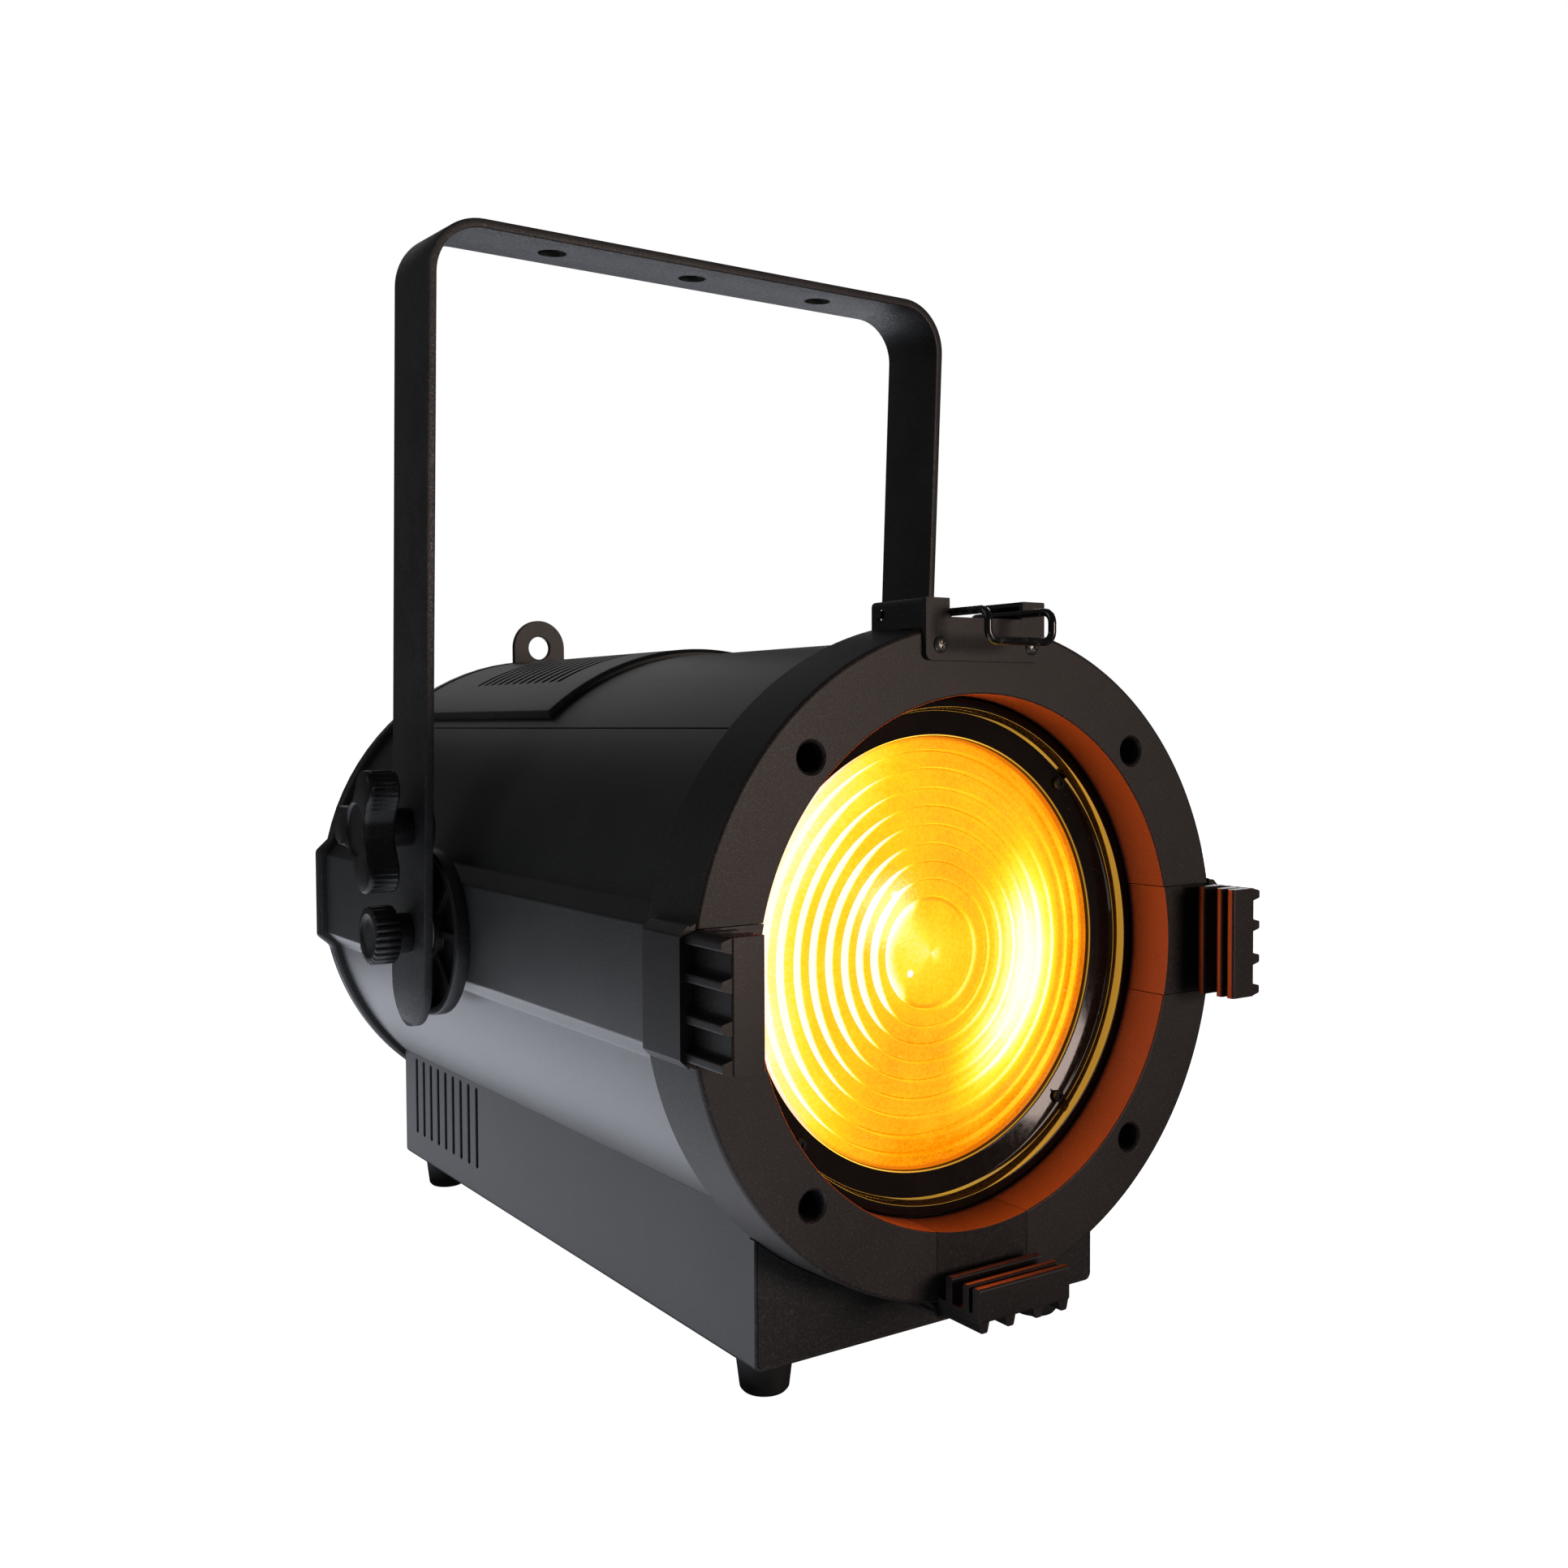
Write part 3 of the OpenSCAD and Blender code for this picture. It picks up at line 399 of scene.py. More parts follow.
def lit_lens(name):
    """Pressed amber glass. The light of the LED engine behind it is painted into the glass as a
    fixed emission pattern. Radii are shares of the lens radius. The painted glow is amber, yellow
    at the centre, hottest far left and on an arc right of the centre. Every pressed step has a thin
    painted shade line, and a painted white highlight crescent left of the centre that thins out as
    the step turns up or down. Specks are dust on the glass, drawn as bright dots in the painted glow."""
    material, tree, place_at, shader, _ = new_tree(name)
    centred = add(tree, "Mapping", {"Vector": place_at, "Location": tuple(-v * 1000 / LENS_R for v in ORIGIN),
                                    "Scale": (1000 / LENS_R,) * 3})
    xyz = add(tree, "SeparateXYZ", {"Vector": centred.outputs["Vector"]})
    flat = add(tree, "CombineXYZ", {"X": xyz.outputs["X"], "Z": xyz.outputs["Z"]}).outputs["Vector"]
    radius = add(tree, "VectorMath", {0: flat}, operation="LENGTH").outputs["Value"]
    # place inside the pressed step: 0 at its inner edge, 1 at its outer edge
    stops = [(0.0, 0.0)]
    for zone in LENS_ZONES[1:-1]:
        stops += [(zone - 0.002, 1.0), (zone + 0.002, 0.0)]
    within = add(tree, "ValToRGB", {"Fac": radius}, ramp=stops + [(0.982, 1.0)]).outputs["Color"]
    grains = add(tree, "TexNoise", {"Vector": place_at, "Scale": per_mm(1.5), "Detail": 3.0,
                                    "Roughness": 0.75})
    broad = add(tree, "TexNoise", {"Vector": place_at, "Scale": per_mm(22.0), "Detail": 2.0})
    dots = add(tree, "TexVoronoi", {"Vector": place_at, "Scale": per_mm(5.0)})
    known = {"flat": flat, "r": radius, "height": xyz.outputs["Z"], "within": within,
             "grain": grains.outputs["Fac"], "broad": broad.outputs["Fac"], "dot": dots.outputs["Distance"]}
    wire(tree, known, [
        ("aim", "VectorMath", {"operation": "NORMALIZE"}, ["flat"]),
        ("to_left", "VectorMath", DOT, ["aim", (-0.98, 0, 0.16)]),
        ("to_right", "VectorMath", DOT, ["aim", (0.95, 0, -0.31)]),
        # painted glow: amber that is a little paler high up, and a yellow centre
        ("glow", "MapRange", SOFT, ["height", -0.9, 0.9, 0.17, 0.23]),
        ("centre", "MapRange", SOFT, ["r", 0.42, 0.0, 0.0, 0.24]),
        # painted hot light: yellow left half, white at its far edge
        ("left", "MapRange", SOFT, ["to_left", 0.1, 1.0, 0.0, 1.0]),
        ("left_edge", "MapRange", SOFT, ["r", 0.62, 1.0, 0.16, 0.66]),
        ("left_hot", "Math", TIMES, ["left", "left_edge"]),
        # painted bright arc of light right of the centre
        ("right", "MapRange", SOFT, ["to_right", 0.4, 1.0, 0.0, 0.66]),
        ("arc_in", "MapRange", SOFT, ["r", 0.3, 0.6, 0.0, 1.0]),
        ("arc_out", "MapRange", SOFT, ["r", 0.88, 0.64, 0.0, 1.0]),
        # painted shade: the outer steps glow a darker amber except on the left
        ("outer", "MapRange", SOFT, ["r", 0.74, 0.95, 0.0, 0.14]),
        ("not_left", "MapRange", SOFT, ["to_left", 0.5, -0.2, 0.0, 1.0]),
        ("outer_amber", "Math", TIMES, ["outer", "not_left"]),
        ("arc", "Math", TIMES, ["arc_in", "arc_out"]),
        ("right_hot", "Math", TIMES, ["right", "arc"]),
        # painted highlight crescents: wide where the step faces left, a thin line above and below
        ("taper", "MapRange", SOFT, ["to_left", 0.25, 1.0, -0.02, 0.5]),
        ("reach", "Math", PLUS, ["within", "taper"]),
        ("crescent", "MapRange", SOFT, ["reach", 0.9, 1.06, 0.0, 0.6]),
        ("fade", "MapRange", SOFT, ["to_left", 0.05, 0.6, 0.0, 1.0]),
        ("hole", "MapRange", SOFT, ["r", 0.18, 0.26, 0.0, 1.0]),
        ("fading", "Math", TIMES, ["fade", "hole"]),
        ("crescents", "Math", TIMES, ["crescent", "fading"]),
        # painted highlight on the inner edge of each step that faces right
        ("inner_edge", "MapRange", SOFT, ["within", 0.3, 0.0, 0.0, 1.0]),
        ("facing_right", "MapRange", SOFT, ["to_right", 0.3, 0.95, 0.0, 0.34]),
        ("right_edge", "Math", TIMES, ["inner_edge", "facing_right"]),
        # thin shaded line on each riser, strongest above and below the centre
        ("riser", "MapRange", SOFT, ["within", 0.9, 0.97, 0.0, 1.0]),
        ("sideways", "Math", MOST, ["to_left", "to_right"]),
        ("line", "MapRange", SOFT, ["sideways", 0.8, 0.3, 0.0, 0.17]),
        ("lined", "Math", TIMES, ["riser", "line"]),
        ("shade", "Math", TIMES, ["lined", "hole"]),
        # random changes in the painted glow, and dust specks drawn as bright dots in it
        ("mottle", "MapRange", SOFT, ["grain", 0.3, 0.7, -0.05, 0.05]),
        ("cloud", "MapRange", SOFT, ["broad", 0.3, 0.7, -0.02, 0.05]),
        ("speck", "MapRange", SOFT, ["dot", 0.06, 0.03, 0.0, 0.7])])
    total = known["glow"]
    for kind, parts in (("ADD", ("centre", "left_hot", "right_hot", "crescents", "right_edge", "mottle",
                                 "cloud")),
                        ("SUBTRACT", ("shade", "outer_amber"))):
        for part in parts:
            total = add(tree, "Math", {0: total, 1: known[part]}, operation=kind).outputs["Value"]
    glow = add(tree, "ValToRGB", {"Fac": total}, ramp=[
        (0.0, "#e07c00"), (0.08, "#fc9a08"), (0.2, "#ffb41c"), (0.34, "#ffd01c"), (0.52, "#ffee3c"),
        (0.72, "#fffa96"), (0.92, "#fffff2")])
    colour = add(tree, "MixRGB", {"Fac": known["speck"], "Color1": glow.outputs["Color"],
                                  "Color2": linear("#fff0a8")}).outputs["Color"]
    # two small mirrored lamps low in the glass
    for spot, size in (((-0.2, 0, 0.27), 0.028), ((-0.115, 0, -0.085), 0.022)):
        wire(tree, known, [("away", "VectorMath", SPAN, ["flat", spot]),
                           ("near", "MapRange", SOFT, ["away", size, size * 0.45, 0.0, 1.0])])
        colour = add(tree, "MixRGB", {"Fac": known["near"], "Color1": colour,
                                      "Color2": (1, 1, 1, 1)}).outputs["Color"]
    # painted shade: a darker brown rim round the glow's outer edge
    wire(tree, known, [("edge", "MapRange", SOFT, ["r", 0.955, 0.985, 0.0, 0.6])])
    rim = add(tree, "MixRGB", {"Fac": known["edge"], "Color1": colour,
                               "Color2": linear("#b05a10")}).outputs["Color"]
    tree.links.new(rim, shader.inputs["Emission Color"])
    bump = add(tree, "Bump", {"Height": grains.outputs["Fac"], "Strength": 0.6, "Distance": 0.0001})
    tree.links.new(bump.outputs["Normal"], shader.inputs["Normal"])
    base = add(tree, "ValToRGB", {"Fac": grains.outputs["Fac"]}, ramp=[(0.3, "#7a3d06"), (0.7, "#9a520c")])
    tree.links.new(base.outputs["Color"], shader.inputs["Base Color"])
    shader.inputs["Emission Strength"].default_value = 1.0
    shader.inputs["Roughness"].default_value = 0.1
    shader.inputs["IOR"].default_value = 1.52
    return material


MATERIALS = {
    # Fine powder coat on cast aluminium: brownish black, silky, faint specks. Grit is drawn 0.8 mm.
    "ring_coat": surface("powder_coated_cast_ring", "#312c2b", "#262221", grain=0.8, depth=0.035,
                         rough=(0.42, 0.58), worn=0.2, edge=0.6, dust=0.12),
    # Moulded glass-filled nylon holders, painted: slightly shinier on their ridges.
    "holder_coat": surface("painted_nylon_holder", "#2a2625", "#1d1a1a", grain=0.9, depth=0.03,
                           rough=(0.36, 0.5), worn=0.45, edge=0.5, wear="#6d6865", dust=0.1),
    # Powder-coated rolled steel sheet: neutral black, soft sheen over the barrel.
    "housing_coat": surface("powder_coated_steel_sheet", "#2c2d2d", "#222323", patch=70.0, grain=0.7,
                            depth=0.022, rough=(0.36, 0.47), worn=0.15, edge=0.6, dust=0.15),
    # Coarse wrinkle powder coat on flat bar, with chips on its edges. Grit is drawn 1.1 mm.
    "yoke_coat": surface("wrinkle_coated_flat_bar", "#3b3b3c", "#29292a", patch=25.0, grain=1.1, depth=0.11,
                         rough=(0.34, 0.6), worn=0.6, edge=0.7, wear="#77777a", dust=0.1),
    # Spring wire dipped in gloss black enamel.
    "black_wire": surface("gloss_enamelled_wire", "#161617", "#0c0c0d", grain=3.0, depth=0.02,
                          rough=(0.12, 0.22), coat=0.6),
    # Bright zinc-plated screw: cool grey with darker wiped patches.
    "zinc_screw": surface("zinc_plated_screw", "#a9a8a4", "#6f6e6b", patch=2.5, grain=0.4, depth=0.02,
                          rough=(0.28, 0.42), metallic=1.0, wear="#c9c8c4", worn=0.4, edge=0.3),
    # Black-oxide socket screws: oily near-black steel.
    "black_screw": surface("black_oxide_screw", "#3a3836", "#1f1e1d", patch=3.0, grain=0.5, depth=0.02,
                           rough=(0.3, 0.45), metallic=0.8, wear="#8d8a86", worn=0.4, edge=0.3),
    "lens_glass": lit_lens("pressed_amber_lens_glass_painted_glow"),
    # Spun steel retainer in gloss black stove enamel: mirrors the lens beside it.
    "retainer_coat": surface("gloss_enamelled_retainer", "#241a16", "#1a1310", patch=20.0, grain=2.5,
                             depth=0.001, rough=(0.05, 0.09), wear="#2a211d", dust=0.3),
    # Translucent white silicone cord seal.
    "silicone": surface("silicone_seal", "#d8d6cf", "#c2bfb6", grain=0.8, depth=0.02, rough=(0.5, 0.62)),
    # Injection-moulded ABS with spark-eroded grain: satin black, shiny where hands rub.
    "knob_plastic": surface("moulded_abs_knob", "#1f1f20", "#151516", patch=12.0, grain=0.6, depth=0.03,
                            rough=(0.32, 0.45), wear="#77777a", worn=0.4, edge=0.5),
    # Vulcanised rubber: dull black with grey bloom.
    "foot_rubber": surface("vulcanised_rubber", "#1b1b1c", "#131314", patch=6.0, grain=0.9, depth=0.04,
                           rough=(0.6, 0.78), wear="#4c4b4a", worn=0.5, edge=0.8),
    # Natural nylon: waxy off-white.
    "nylon": surface("natural_nylon_washer", "#cfcabb", "#bab5a6", grain=1.0, depth=0.02,
                     rough=(0.4, 0.52)),
    # Moulded brake-pad rubber, matt.
    "pad_rubber": surface("friction_pad_rubber", "#1d1d1d", "#111111", grain=0.8, depth=0.05,
                          rough=(0.68, 0.85)),
    # Centreless-ground steel bar: fine lines round and along.
    "steel": surface("ground_steel_bar", "#a6a7a9", "#7f8082", patch=9.0, grain=0.5, depth=0.01,
                     rough=(0.2, 0.34), metallic=1.0, wear="#d2d3d4", worn=0.3, lines=(1, 0.06, 1)),
    # Mill-finish aluminium: rolling lines, slight haze.
    "sheet_aluminium": surface("mill_finish_aluminium", "#b4b6b8", "#8f9193", patch=18.0, grain=0.6,
                               depth=0.015, rough=(0.3, 0.46), metallic=1.0, wear="#dcdddd", worn=0.3,
                               lines=(0.08, 1, 1)),
    # Sintered bronze bush: brown-gold with open pores.
    "bronze": surface("sintered_bronze_bush", "#a9773a", "#7a5226", patch=4.0, grain=0.5, depth=0.03,
                      rough=(0.35, 0.5), metallic=1.0, wear="#d2a768", worn=0.3),
    # White solder-masked aluminium LED board.
    "led_white": surface("white_solder_mask", "#e6e5df", "#cfcec8", grain=1.5, depth=0.01,
                         rough=(0.28, 0.4)),
    # Phosphor-filled silicone over the LED chips.
    "led_phosphor": surface("phosphor_silicone", "#f0a62c", "#d88a14", patch=3.0, grain=1.0, depth=0.03,
                            rough=(0.3, 0.42), coat=0.4),
    # Polished and anodised aluminium reflector.
    "polished": surface("polished_reflector", "#d4d6d8", "#b9bbbd", grain=1.2, depth=0.008,
                        rough=(0.06, 0.14), metallic=1.0),
    # Glass-filled PBT fan moulding.
    "fan_plastic": surface("moulded_pbt_fan", "#222224", "#161617", patch=15.0, grain=0.9, depth=0.03,
                           rough=(0.38, 0.52), worn=0.25),
    # Gloss black polycarbonate fascia with wiping marks.
    "panel_plastic": surface("gloss_polycarbonate_panel", "#141415", "#0d0d0e", patch=30.0, grain=2.0,
                             depth=0.008, rough=(0.1, 0.2), worn=0.1, coat=0.3),
    # Unlit blue-grey LCD behind clear acrylic.
    "display_glass": surface("unlit_display", "#24445e", "#1a344b", patch=14.0, grain=1.2, depth=0.004,
                             rough=(0.06, 0.12), coat=1.0),
    # Silicone key caps, dark grey.
    "button_plastic": surface("silicone_keycap", "#5a5a5c", "#48484a", patch=4.0, grain=0.5, depth=0.02,
                              rough=(0.45, 0.58), worn=0.2),
    # Thermoplastic sockets, satin black.
    "socket_plastic": surface("thermoplastic_socket", "#1d1d1e", "#141415", patch=8.0, grain=0.7,
                              depth=0.02, rough=(0.36, 0.5), worn=0.25),
    # Lacquered glass-epoxy board.
    "board_green": surface("lacquered_circuit_board", "#1f5c38", "#174a2c", patch=10.0, grain=1.0,
                           depth=0.015, rough=(0.22, 0.34), worn=0.1, coat=0.3),
}

# ---------- front ring, holders, bracket, bail ----------


def at_corners(shell):
    """A shape drawn at angle 0 of the beam axis, repeated at 45, 135, 225 and 315 degrees."""
    return joined(*[moved(shell, turn_y=45 + 90 * i) for i in range(4)])


ring_profile = rounded(
    [(BORE_R, 0), (RING_R, 0), (RING_R + RING_TAPER, RING_DEPTH), (SPIGOT_R, RING_DEPTH),
     (SPIGOT_R, RING_BACK), (115, RING_BACK), (115, 34), (96, 34), (96, RING_BACK), (80, RING_BACK),
     (80, 39), (LENS_SEAT_R, 39), (LENS_SEAT_R, RING_DEPTH), (BORE_R, RING_DEPTH)],
    [0.8, 1.6, 0.8, 0.3, 0.3, 0.3, 0.3, 0.3, 0.3, 0.3, 0.3, 0.3, 0.3, 0.3])
pockets = [moved(cuboid((-22.1, -1, -140), (22.1, 22.1, -BORE_R + 5)), turn_y=a) for a in (0, 90, -90)]
screw_well = lathe([(0, -1), (6.7, -1), (6.3, 0), (5.6, 0.5), (5, 1.6), (5, 22.4), (0, 22.4)],
                   centre=(RING_SCREW_R, 0, 0), turns=48, closed=False)
piece("front_ring_body", lathe(ring_profile, turns=256), "lamp", ["front_ring"], "ring_coat",
      cuts=joined(*pockets, at_corners(screw_well)), bevel=0.35)


def holder_shell():
    """A comb profile of (y, radius) points carried across the holder's width; below the fins' inner
    radius the profile follows the bore, radius = sqrt(bore squared - across squared)."""
    out, tip, root = -HOLDER_OUT, 111.0, 120.6
    comb = rounded(
        [(0, BORE_R), (22, BORE_R), (22, 126.2), (0, 126.2), (0, 123.6), (out, 123.6), (out, tip),
         (-19.4, tip), (-19.4, root), (-17.3, root), (-17.3, tip), (-14.1, tip), (-14.1, root), (-8.2, root),
         (-8.2, tip), (-4.7, tip), (-4.7, root), (0, root)],
        [0, 0.5, 1, 1, 0, 0.9, 1.1, 1.1, 0.5, 0.5, 1.1, 1.1, 0.5, 0.5, 1.1, 1.1, 0.5, 0.5], steps=4)
    across = np.linspace(-HOLDER_HALF, HOLDER_HALF, 23)[:, None]
    y, r = comb[:, 0], comb[:, 1]
    follow = np.clip((tip - r) / (tip - BORE_R), 0, 1)
    drop = BORE_R - np.sqrt(BORE_R**2 - across**2)
    rows = np.stack(np.broadcast_arrays(across, y, -(r - drop * follow)), -1)
    points, faces = grid(rows, wrap_v=True)
    count = len(comb)
    return points, faces + [list(range(count)), list(range(len(points) - count, len(points)))]


def holder_ribs():
    """Four outer ridges, each a short bar with sloped sides: its half width shrinks from foot to
    crest in a straight line."""
    foot, crest, foot_half, crest_half = 122.4, 127.2, 2.7, 1.5
    bars = []
    for t in (-19.2, -6.8, 6.8, 19.2):
        outline = [(t - foot_half, -foot), (t - crest_half, -crest), (t + crest_half, -crest),
                   (t + foot_half, -foot)]
        bars.append(prism(rounded(outline, [0, 0.7, 0.7, 0], steps=4), -HOLDER_OUT + 0.4, 0.5))
    return joined(*bars)


def holder_cap():
    """A bevelled block on the ring's side: a trapezium outline over the ring's circle,
    z = -sqrt(radius squared - x squared), carried back from the ring's face."""
    x = np.linspace(-24.0, 24.0, 25)
    arc = np.stack([x, -np.sqrt((RING_R + 0.3) ** 2 - x**2)], -1)
    top = rounded([(24.0, -125.4), (20.4, -129.2), (-20.4, -129.2), (-24.0, -125.4)], [0.5, 0.9, 0.9, 0.5],
                  steps=4)
    return prism(np.vstack([arc, top]), 0.02, 25.0)


for side_name, turn in (("bottom", 0), ("left", 90), ("right", -90)):
    outside = moved(joined(holder_ribs(), holder_cap()), turn_y=turn)
    piece(f"accessory_holder_{side_name}", moved(holder_shell(), turn_y=turn), "lamp",
          [f"holder_{side_name}"], "holder_coat", adds=outside, bevel=0.4)

plate = rounded(
    [(-28.5, 133.4), (-17.6, 133.4), (-17.6, 126.7), (17.6, 126.7), (17.6, 133.4), (28.5, 133.4),
     (28.5, 111), (-28.5, 111)],
    [0.6, 0.8, 1.2, 1.2, 0.8, 0.6, 2.8, 2.8])
fold = rounded([(28.5, 122.6), (28.5, 133.4), (17.6, 133.4), (17.6, 131.6), (26.7, 131.6), (26.7, 122.6)],
               [0, 2, 0.3, 0.3, 0.6, 0])
folds = joined(*[moved(prism(fold, -1.98, 30), mirror_x=s < 0) for s in SIDES])
hinge_holes = joined(*[cuboid((s * 28 - 3, 22.4, 126.4), (s * 28 + 3, 26.6, 130.4)) for s in SIDES])
piece("gate_bracket_sheet", prism(plate, -2, 0.05), "lamp", ["gate_bracket"], "ring_coat", adds=folds,
      cuts=hinge_holes, bevel=0.35)

bail_path = rounded(
    [(-29.4, 24.5, 128.5), (-15.3, 24.5, 128.5), (-15.3, -20, 128.5), (-15.3, -20, 117.5), (15.3, -20, 117.5),
     (15.3, -20, 128.5), (15.3, 24.5, 128.5), (29.4, 24.5, 128.5)],
    4.0, steps=9, closed=False)
piece("gate_bail_wire", tube(bail_path, 1.5), "gate_bail", ["gate_bail"], "black_wire", smooth=40)

# ---------- lens and its retainer ----------


def lens_profile():
    """Fresnel steps: inside each zone the front follows sag(r) - sag(zone's inner edge), with
    sag(r) = curve - sqrt(curve squared - r squared), and each step is a short steep riser."""
    zones = np.array(LENS_ZONES) * LENS_R
    sag = lambda r: LENS_CURVE - np.sqrt(LENS_CURVE**2 - r**2)
    front = []
    for a, b in zip(zones[:-1], zones[1:]):
        r = np.linspace(a + (0.35 if a else 0), b, 8)
        front += list(zip(r, LENS_FRONT + sag(r) - sag(a)))
    return front + [(LENS_R - 1.2, 31.3), (LENS_R, 31.6), (LENS_R, LENS_BACK), (0, LENS_BACK)]


piece("fresnel_lens", lathe(lens_profile(), turns=256, closed=False), "lamp", ["lens"], "lens_glass",
      smooth=25)

retainer_profile = rounded(
    [(98.4, 30), (98.4, 20), (94.7, 20), (94.1, 25.6), (93.3, 27.25), (84.2, 28.6), (83.4, 31.1), (86, 31.1),
     (86, 30)],
    [0, 0.5, 0.4, 1.2, 0.6, 0.6, 0.2, 0, 0])
retainer_holes = at_corners(cylinder(1.35, 20, 32, centre=(RETAINER_SCREW_R, 0, 0), turns=24))
piece("lens_retainer_ring", lathe(retainer_profile, turns=256), "lamp", ["lens_retainer"], "retainer_coat",
      cuts=retainer_holes, smooth=35)

# ---------- housing ----------


def on_circle(radius, degrees):
    """Points (x, z) at clock angles from the top, positive to the right."""
    a = np.radians(degrees)
    return np.stack([radius * np.sin(a), radius * np.cos(a)], -1)


def body_line(grow, start, sharp=False):
    """The barrel's outline from a clock angle on the right to the same angle on the left by way
    of the bottom: circle, sloped flank, flat band, sloped flank, circle, and the same on the
    other side. The band's corners are rounded unless sharp is true."""
    root = math.degrees(math.atan2(BAND_ROOT_X, BAND_ROOT_Z))
    arc_steps = 20
    right = [on_circle(BODY_R + grow, np.linspace(start, root, arc_steps)),
             [(BAND_X + grow, BAND_TOP + grow / 2), (BAND_X + grow, BAND_LOW - grow / 2)],
             on_circle(BODY_R + grow, np.linspace(180 - root, 180, 40))]
    left = [line[::-1] * (-1, 1) for line in (np.asarray(part, float) for part in right[::-1])]
    line = np.vstack([*right, left[0][1:], left[1], left[2]])
    if sharp:
        return line
    radii = np.zeros(len(line))
    corners = np.arange(4) + arc_steps - 1
    radii[corners] = radii[-1 - corners] = (3.0, 2.0, 2.0, 3.0)
    return rounded(line, radii, steps=4, closed=False)


def inset(line, by):
    """The same line moved to its right by a distance, along its own normals."""
    along = np.gradient(line, axis=0)
    along /= np.linalg.norm(along, axis=1)[:, None]
    return line + by * np.stack([along[:, 1], -along[:, 0]], -1)


barrel = body_line(0, SEAM_DEG)
piece("barrel_sheet", strip(barrel, inset(barrel, SHEET), BODY_FRONT, BODY_BACK), "lamp", ["housing_shell"],
      "housing_coat", bevel=0.3)

crown = on_circle(BODY_R, np.linspace(-SEAM_DEG + 0.2, SEAM_DEG - 0.2, 61))
windows = joined(*[moved(cuboid((-14, 232, 100), (14, 326, 130)), turn_y=a) for a in (-21, 0, 21)])
# a lap strip under each long seam keeps the light in
laps = []
for seam in (-SEAM_DEG, SEAM_DEG):
    width = np.linspace(seam - LAP_DEG, seam + LAP_DEG, 7)
    outer, inner = (on_circle(BODY_R - SHEET - gap, width) for gap in (0.05, 0.9))
    laps.append(strip(outer, inner, 43, 370))
crown_sheet = strip(crown, crown * (BODY_R - SHEET) / BODY_R, BODY_FRONT, BODY_BACK)
piece("top_sheet", joined(crown_sheet, *laps), "lamp", ["top_shell"], "housing_coat", cuts=windows, bevel=0.3)


def vent_shell():
    """A raised curved plate: its height over the barrel rises from 0 to full over a few
    millimetres in from the front and side edges, as 1 - (1 - t) squared."""
    rise, width = VENT_R - BODY_R - 0.05, 2.6
    steps = np.array([0, 0.06, 0.2, 0.45, 0.8, 1.2, 1.8, 2.6])
    y = np.concatenate([VENT_FRONT + steps, np.linspace(205, BODY_BACK, 24)])
    half = math.radians(VENT_DEG) * VENT_R
    s = np.concatenate([-half + steps, np.linspace(-half + 6, half - 6, 60), half - steps[::-1]])
    reach = np.minimum(np.minimum(s + half, half - s)[None], (y - VENT_FRONT)[:, None])
    t = np.clip(reach / width, 0, 1)
    radius = BODY_R + 0.05 + rise * (0.45 + 0.55 * (1 - (1 - t) ** 2))
    angle = (s / VENT_R)[None]
    across = np.broadcast_to(y[:, None], radius.shape)
    top = np.stack([radius * np.sin(angle), across, radius * np.cos(angle)], -1)
    low = np.full_like(radius, BODY_R + 0.03)
    under = np.stack([low * np.sin(angle), across, low * np.cos(angle)], -1)
    points_top, faces_top = grid(top)
    points_low, faces_low = grid(under)
    rows, cols = radius.shape
    edge = np.concatenate([np.arange(cols), np.arange(1, rows) * cols + cols - 1,
                           (rows - 1) * cols + np.arange(cols - 2, -1, -1),
                           np.arange(rows - 2, 0, -1) * cols])
    after = np.roll(edge, -1)
    shift = rows * cols
    wall = np.stack([edge, after, after + shift, edge + shift], -1).tolist()
    return np.vstack([points_top, points_low]), faces_top + [[i + shift for i in f] for f in faces_low] + wall


def curved_slot(y, half_deg, width, low, high):
    """A round-ended slot across the barrel: at each arc place its half width is
    sqrt(r squared - distance into the end squared), and it reaches from low to high radius."""
    r = width / 2
    half = math.radians(half_deg) * VENT_R
    end = half - r + r * np.sin(np.linspace(0, math.pi / 2, 7))
    s = np.concatenate([-end[::-1], np.linspace(-half + r, half - r, 25)[1:-1], end])
    w = np.sqrt(np.clip(r**2 - np.clip(np.abs(s) - (half - r), 0, None) ** 2, 0, None))
    a = s / VENT_R
    rails = [np.stack([radius * np.sin(a), y + side * w, radius * np.cos(a)], -1)
             for side, radius in ((-1, low), (1, low), (1, high), (-1, high))]
    return grid(np.stack(rails, 1), wrap_v=True)


vent_cuts = joined(*[curved_slot(232 + i * VENT_PITCH, VENT_SLOT_DEG, VENT_SLOT_W, BODY_R - 1, VENT_R + 2)
                     for i in range(VENT_SLOTS)])
piece("vent_cover_plate", vent_shell(), "lamp", ["vent_cover"], "housing_coat", cuts=vent_cuts, bevel=0.25)

rear_line = body_line(REAR_GROW, 0, sharp=True)[:-1]
rear_holes = joined(
    cylinder(52, 370, 395, centre=(0, 0, FAN_Z), turns=128),
    cuboid((-66, 370, -79), (66, 395, -47)),
    cylinder(7.5, 370, 395, centre=(0, 0, FOCUS_Z)))
piece("rear_cover_plate", prism(rear_line, BODY_BACK + 0.02, REAR_Y), "lamp", ["rear_cover"], "housing_coat",
      cuts=rear_holes, bevel=1.4)

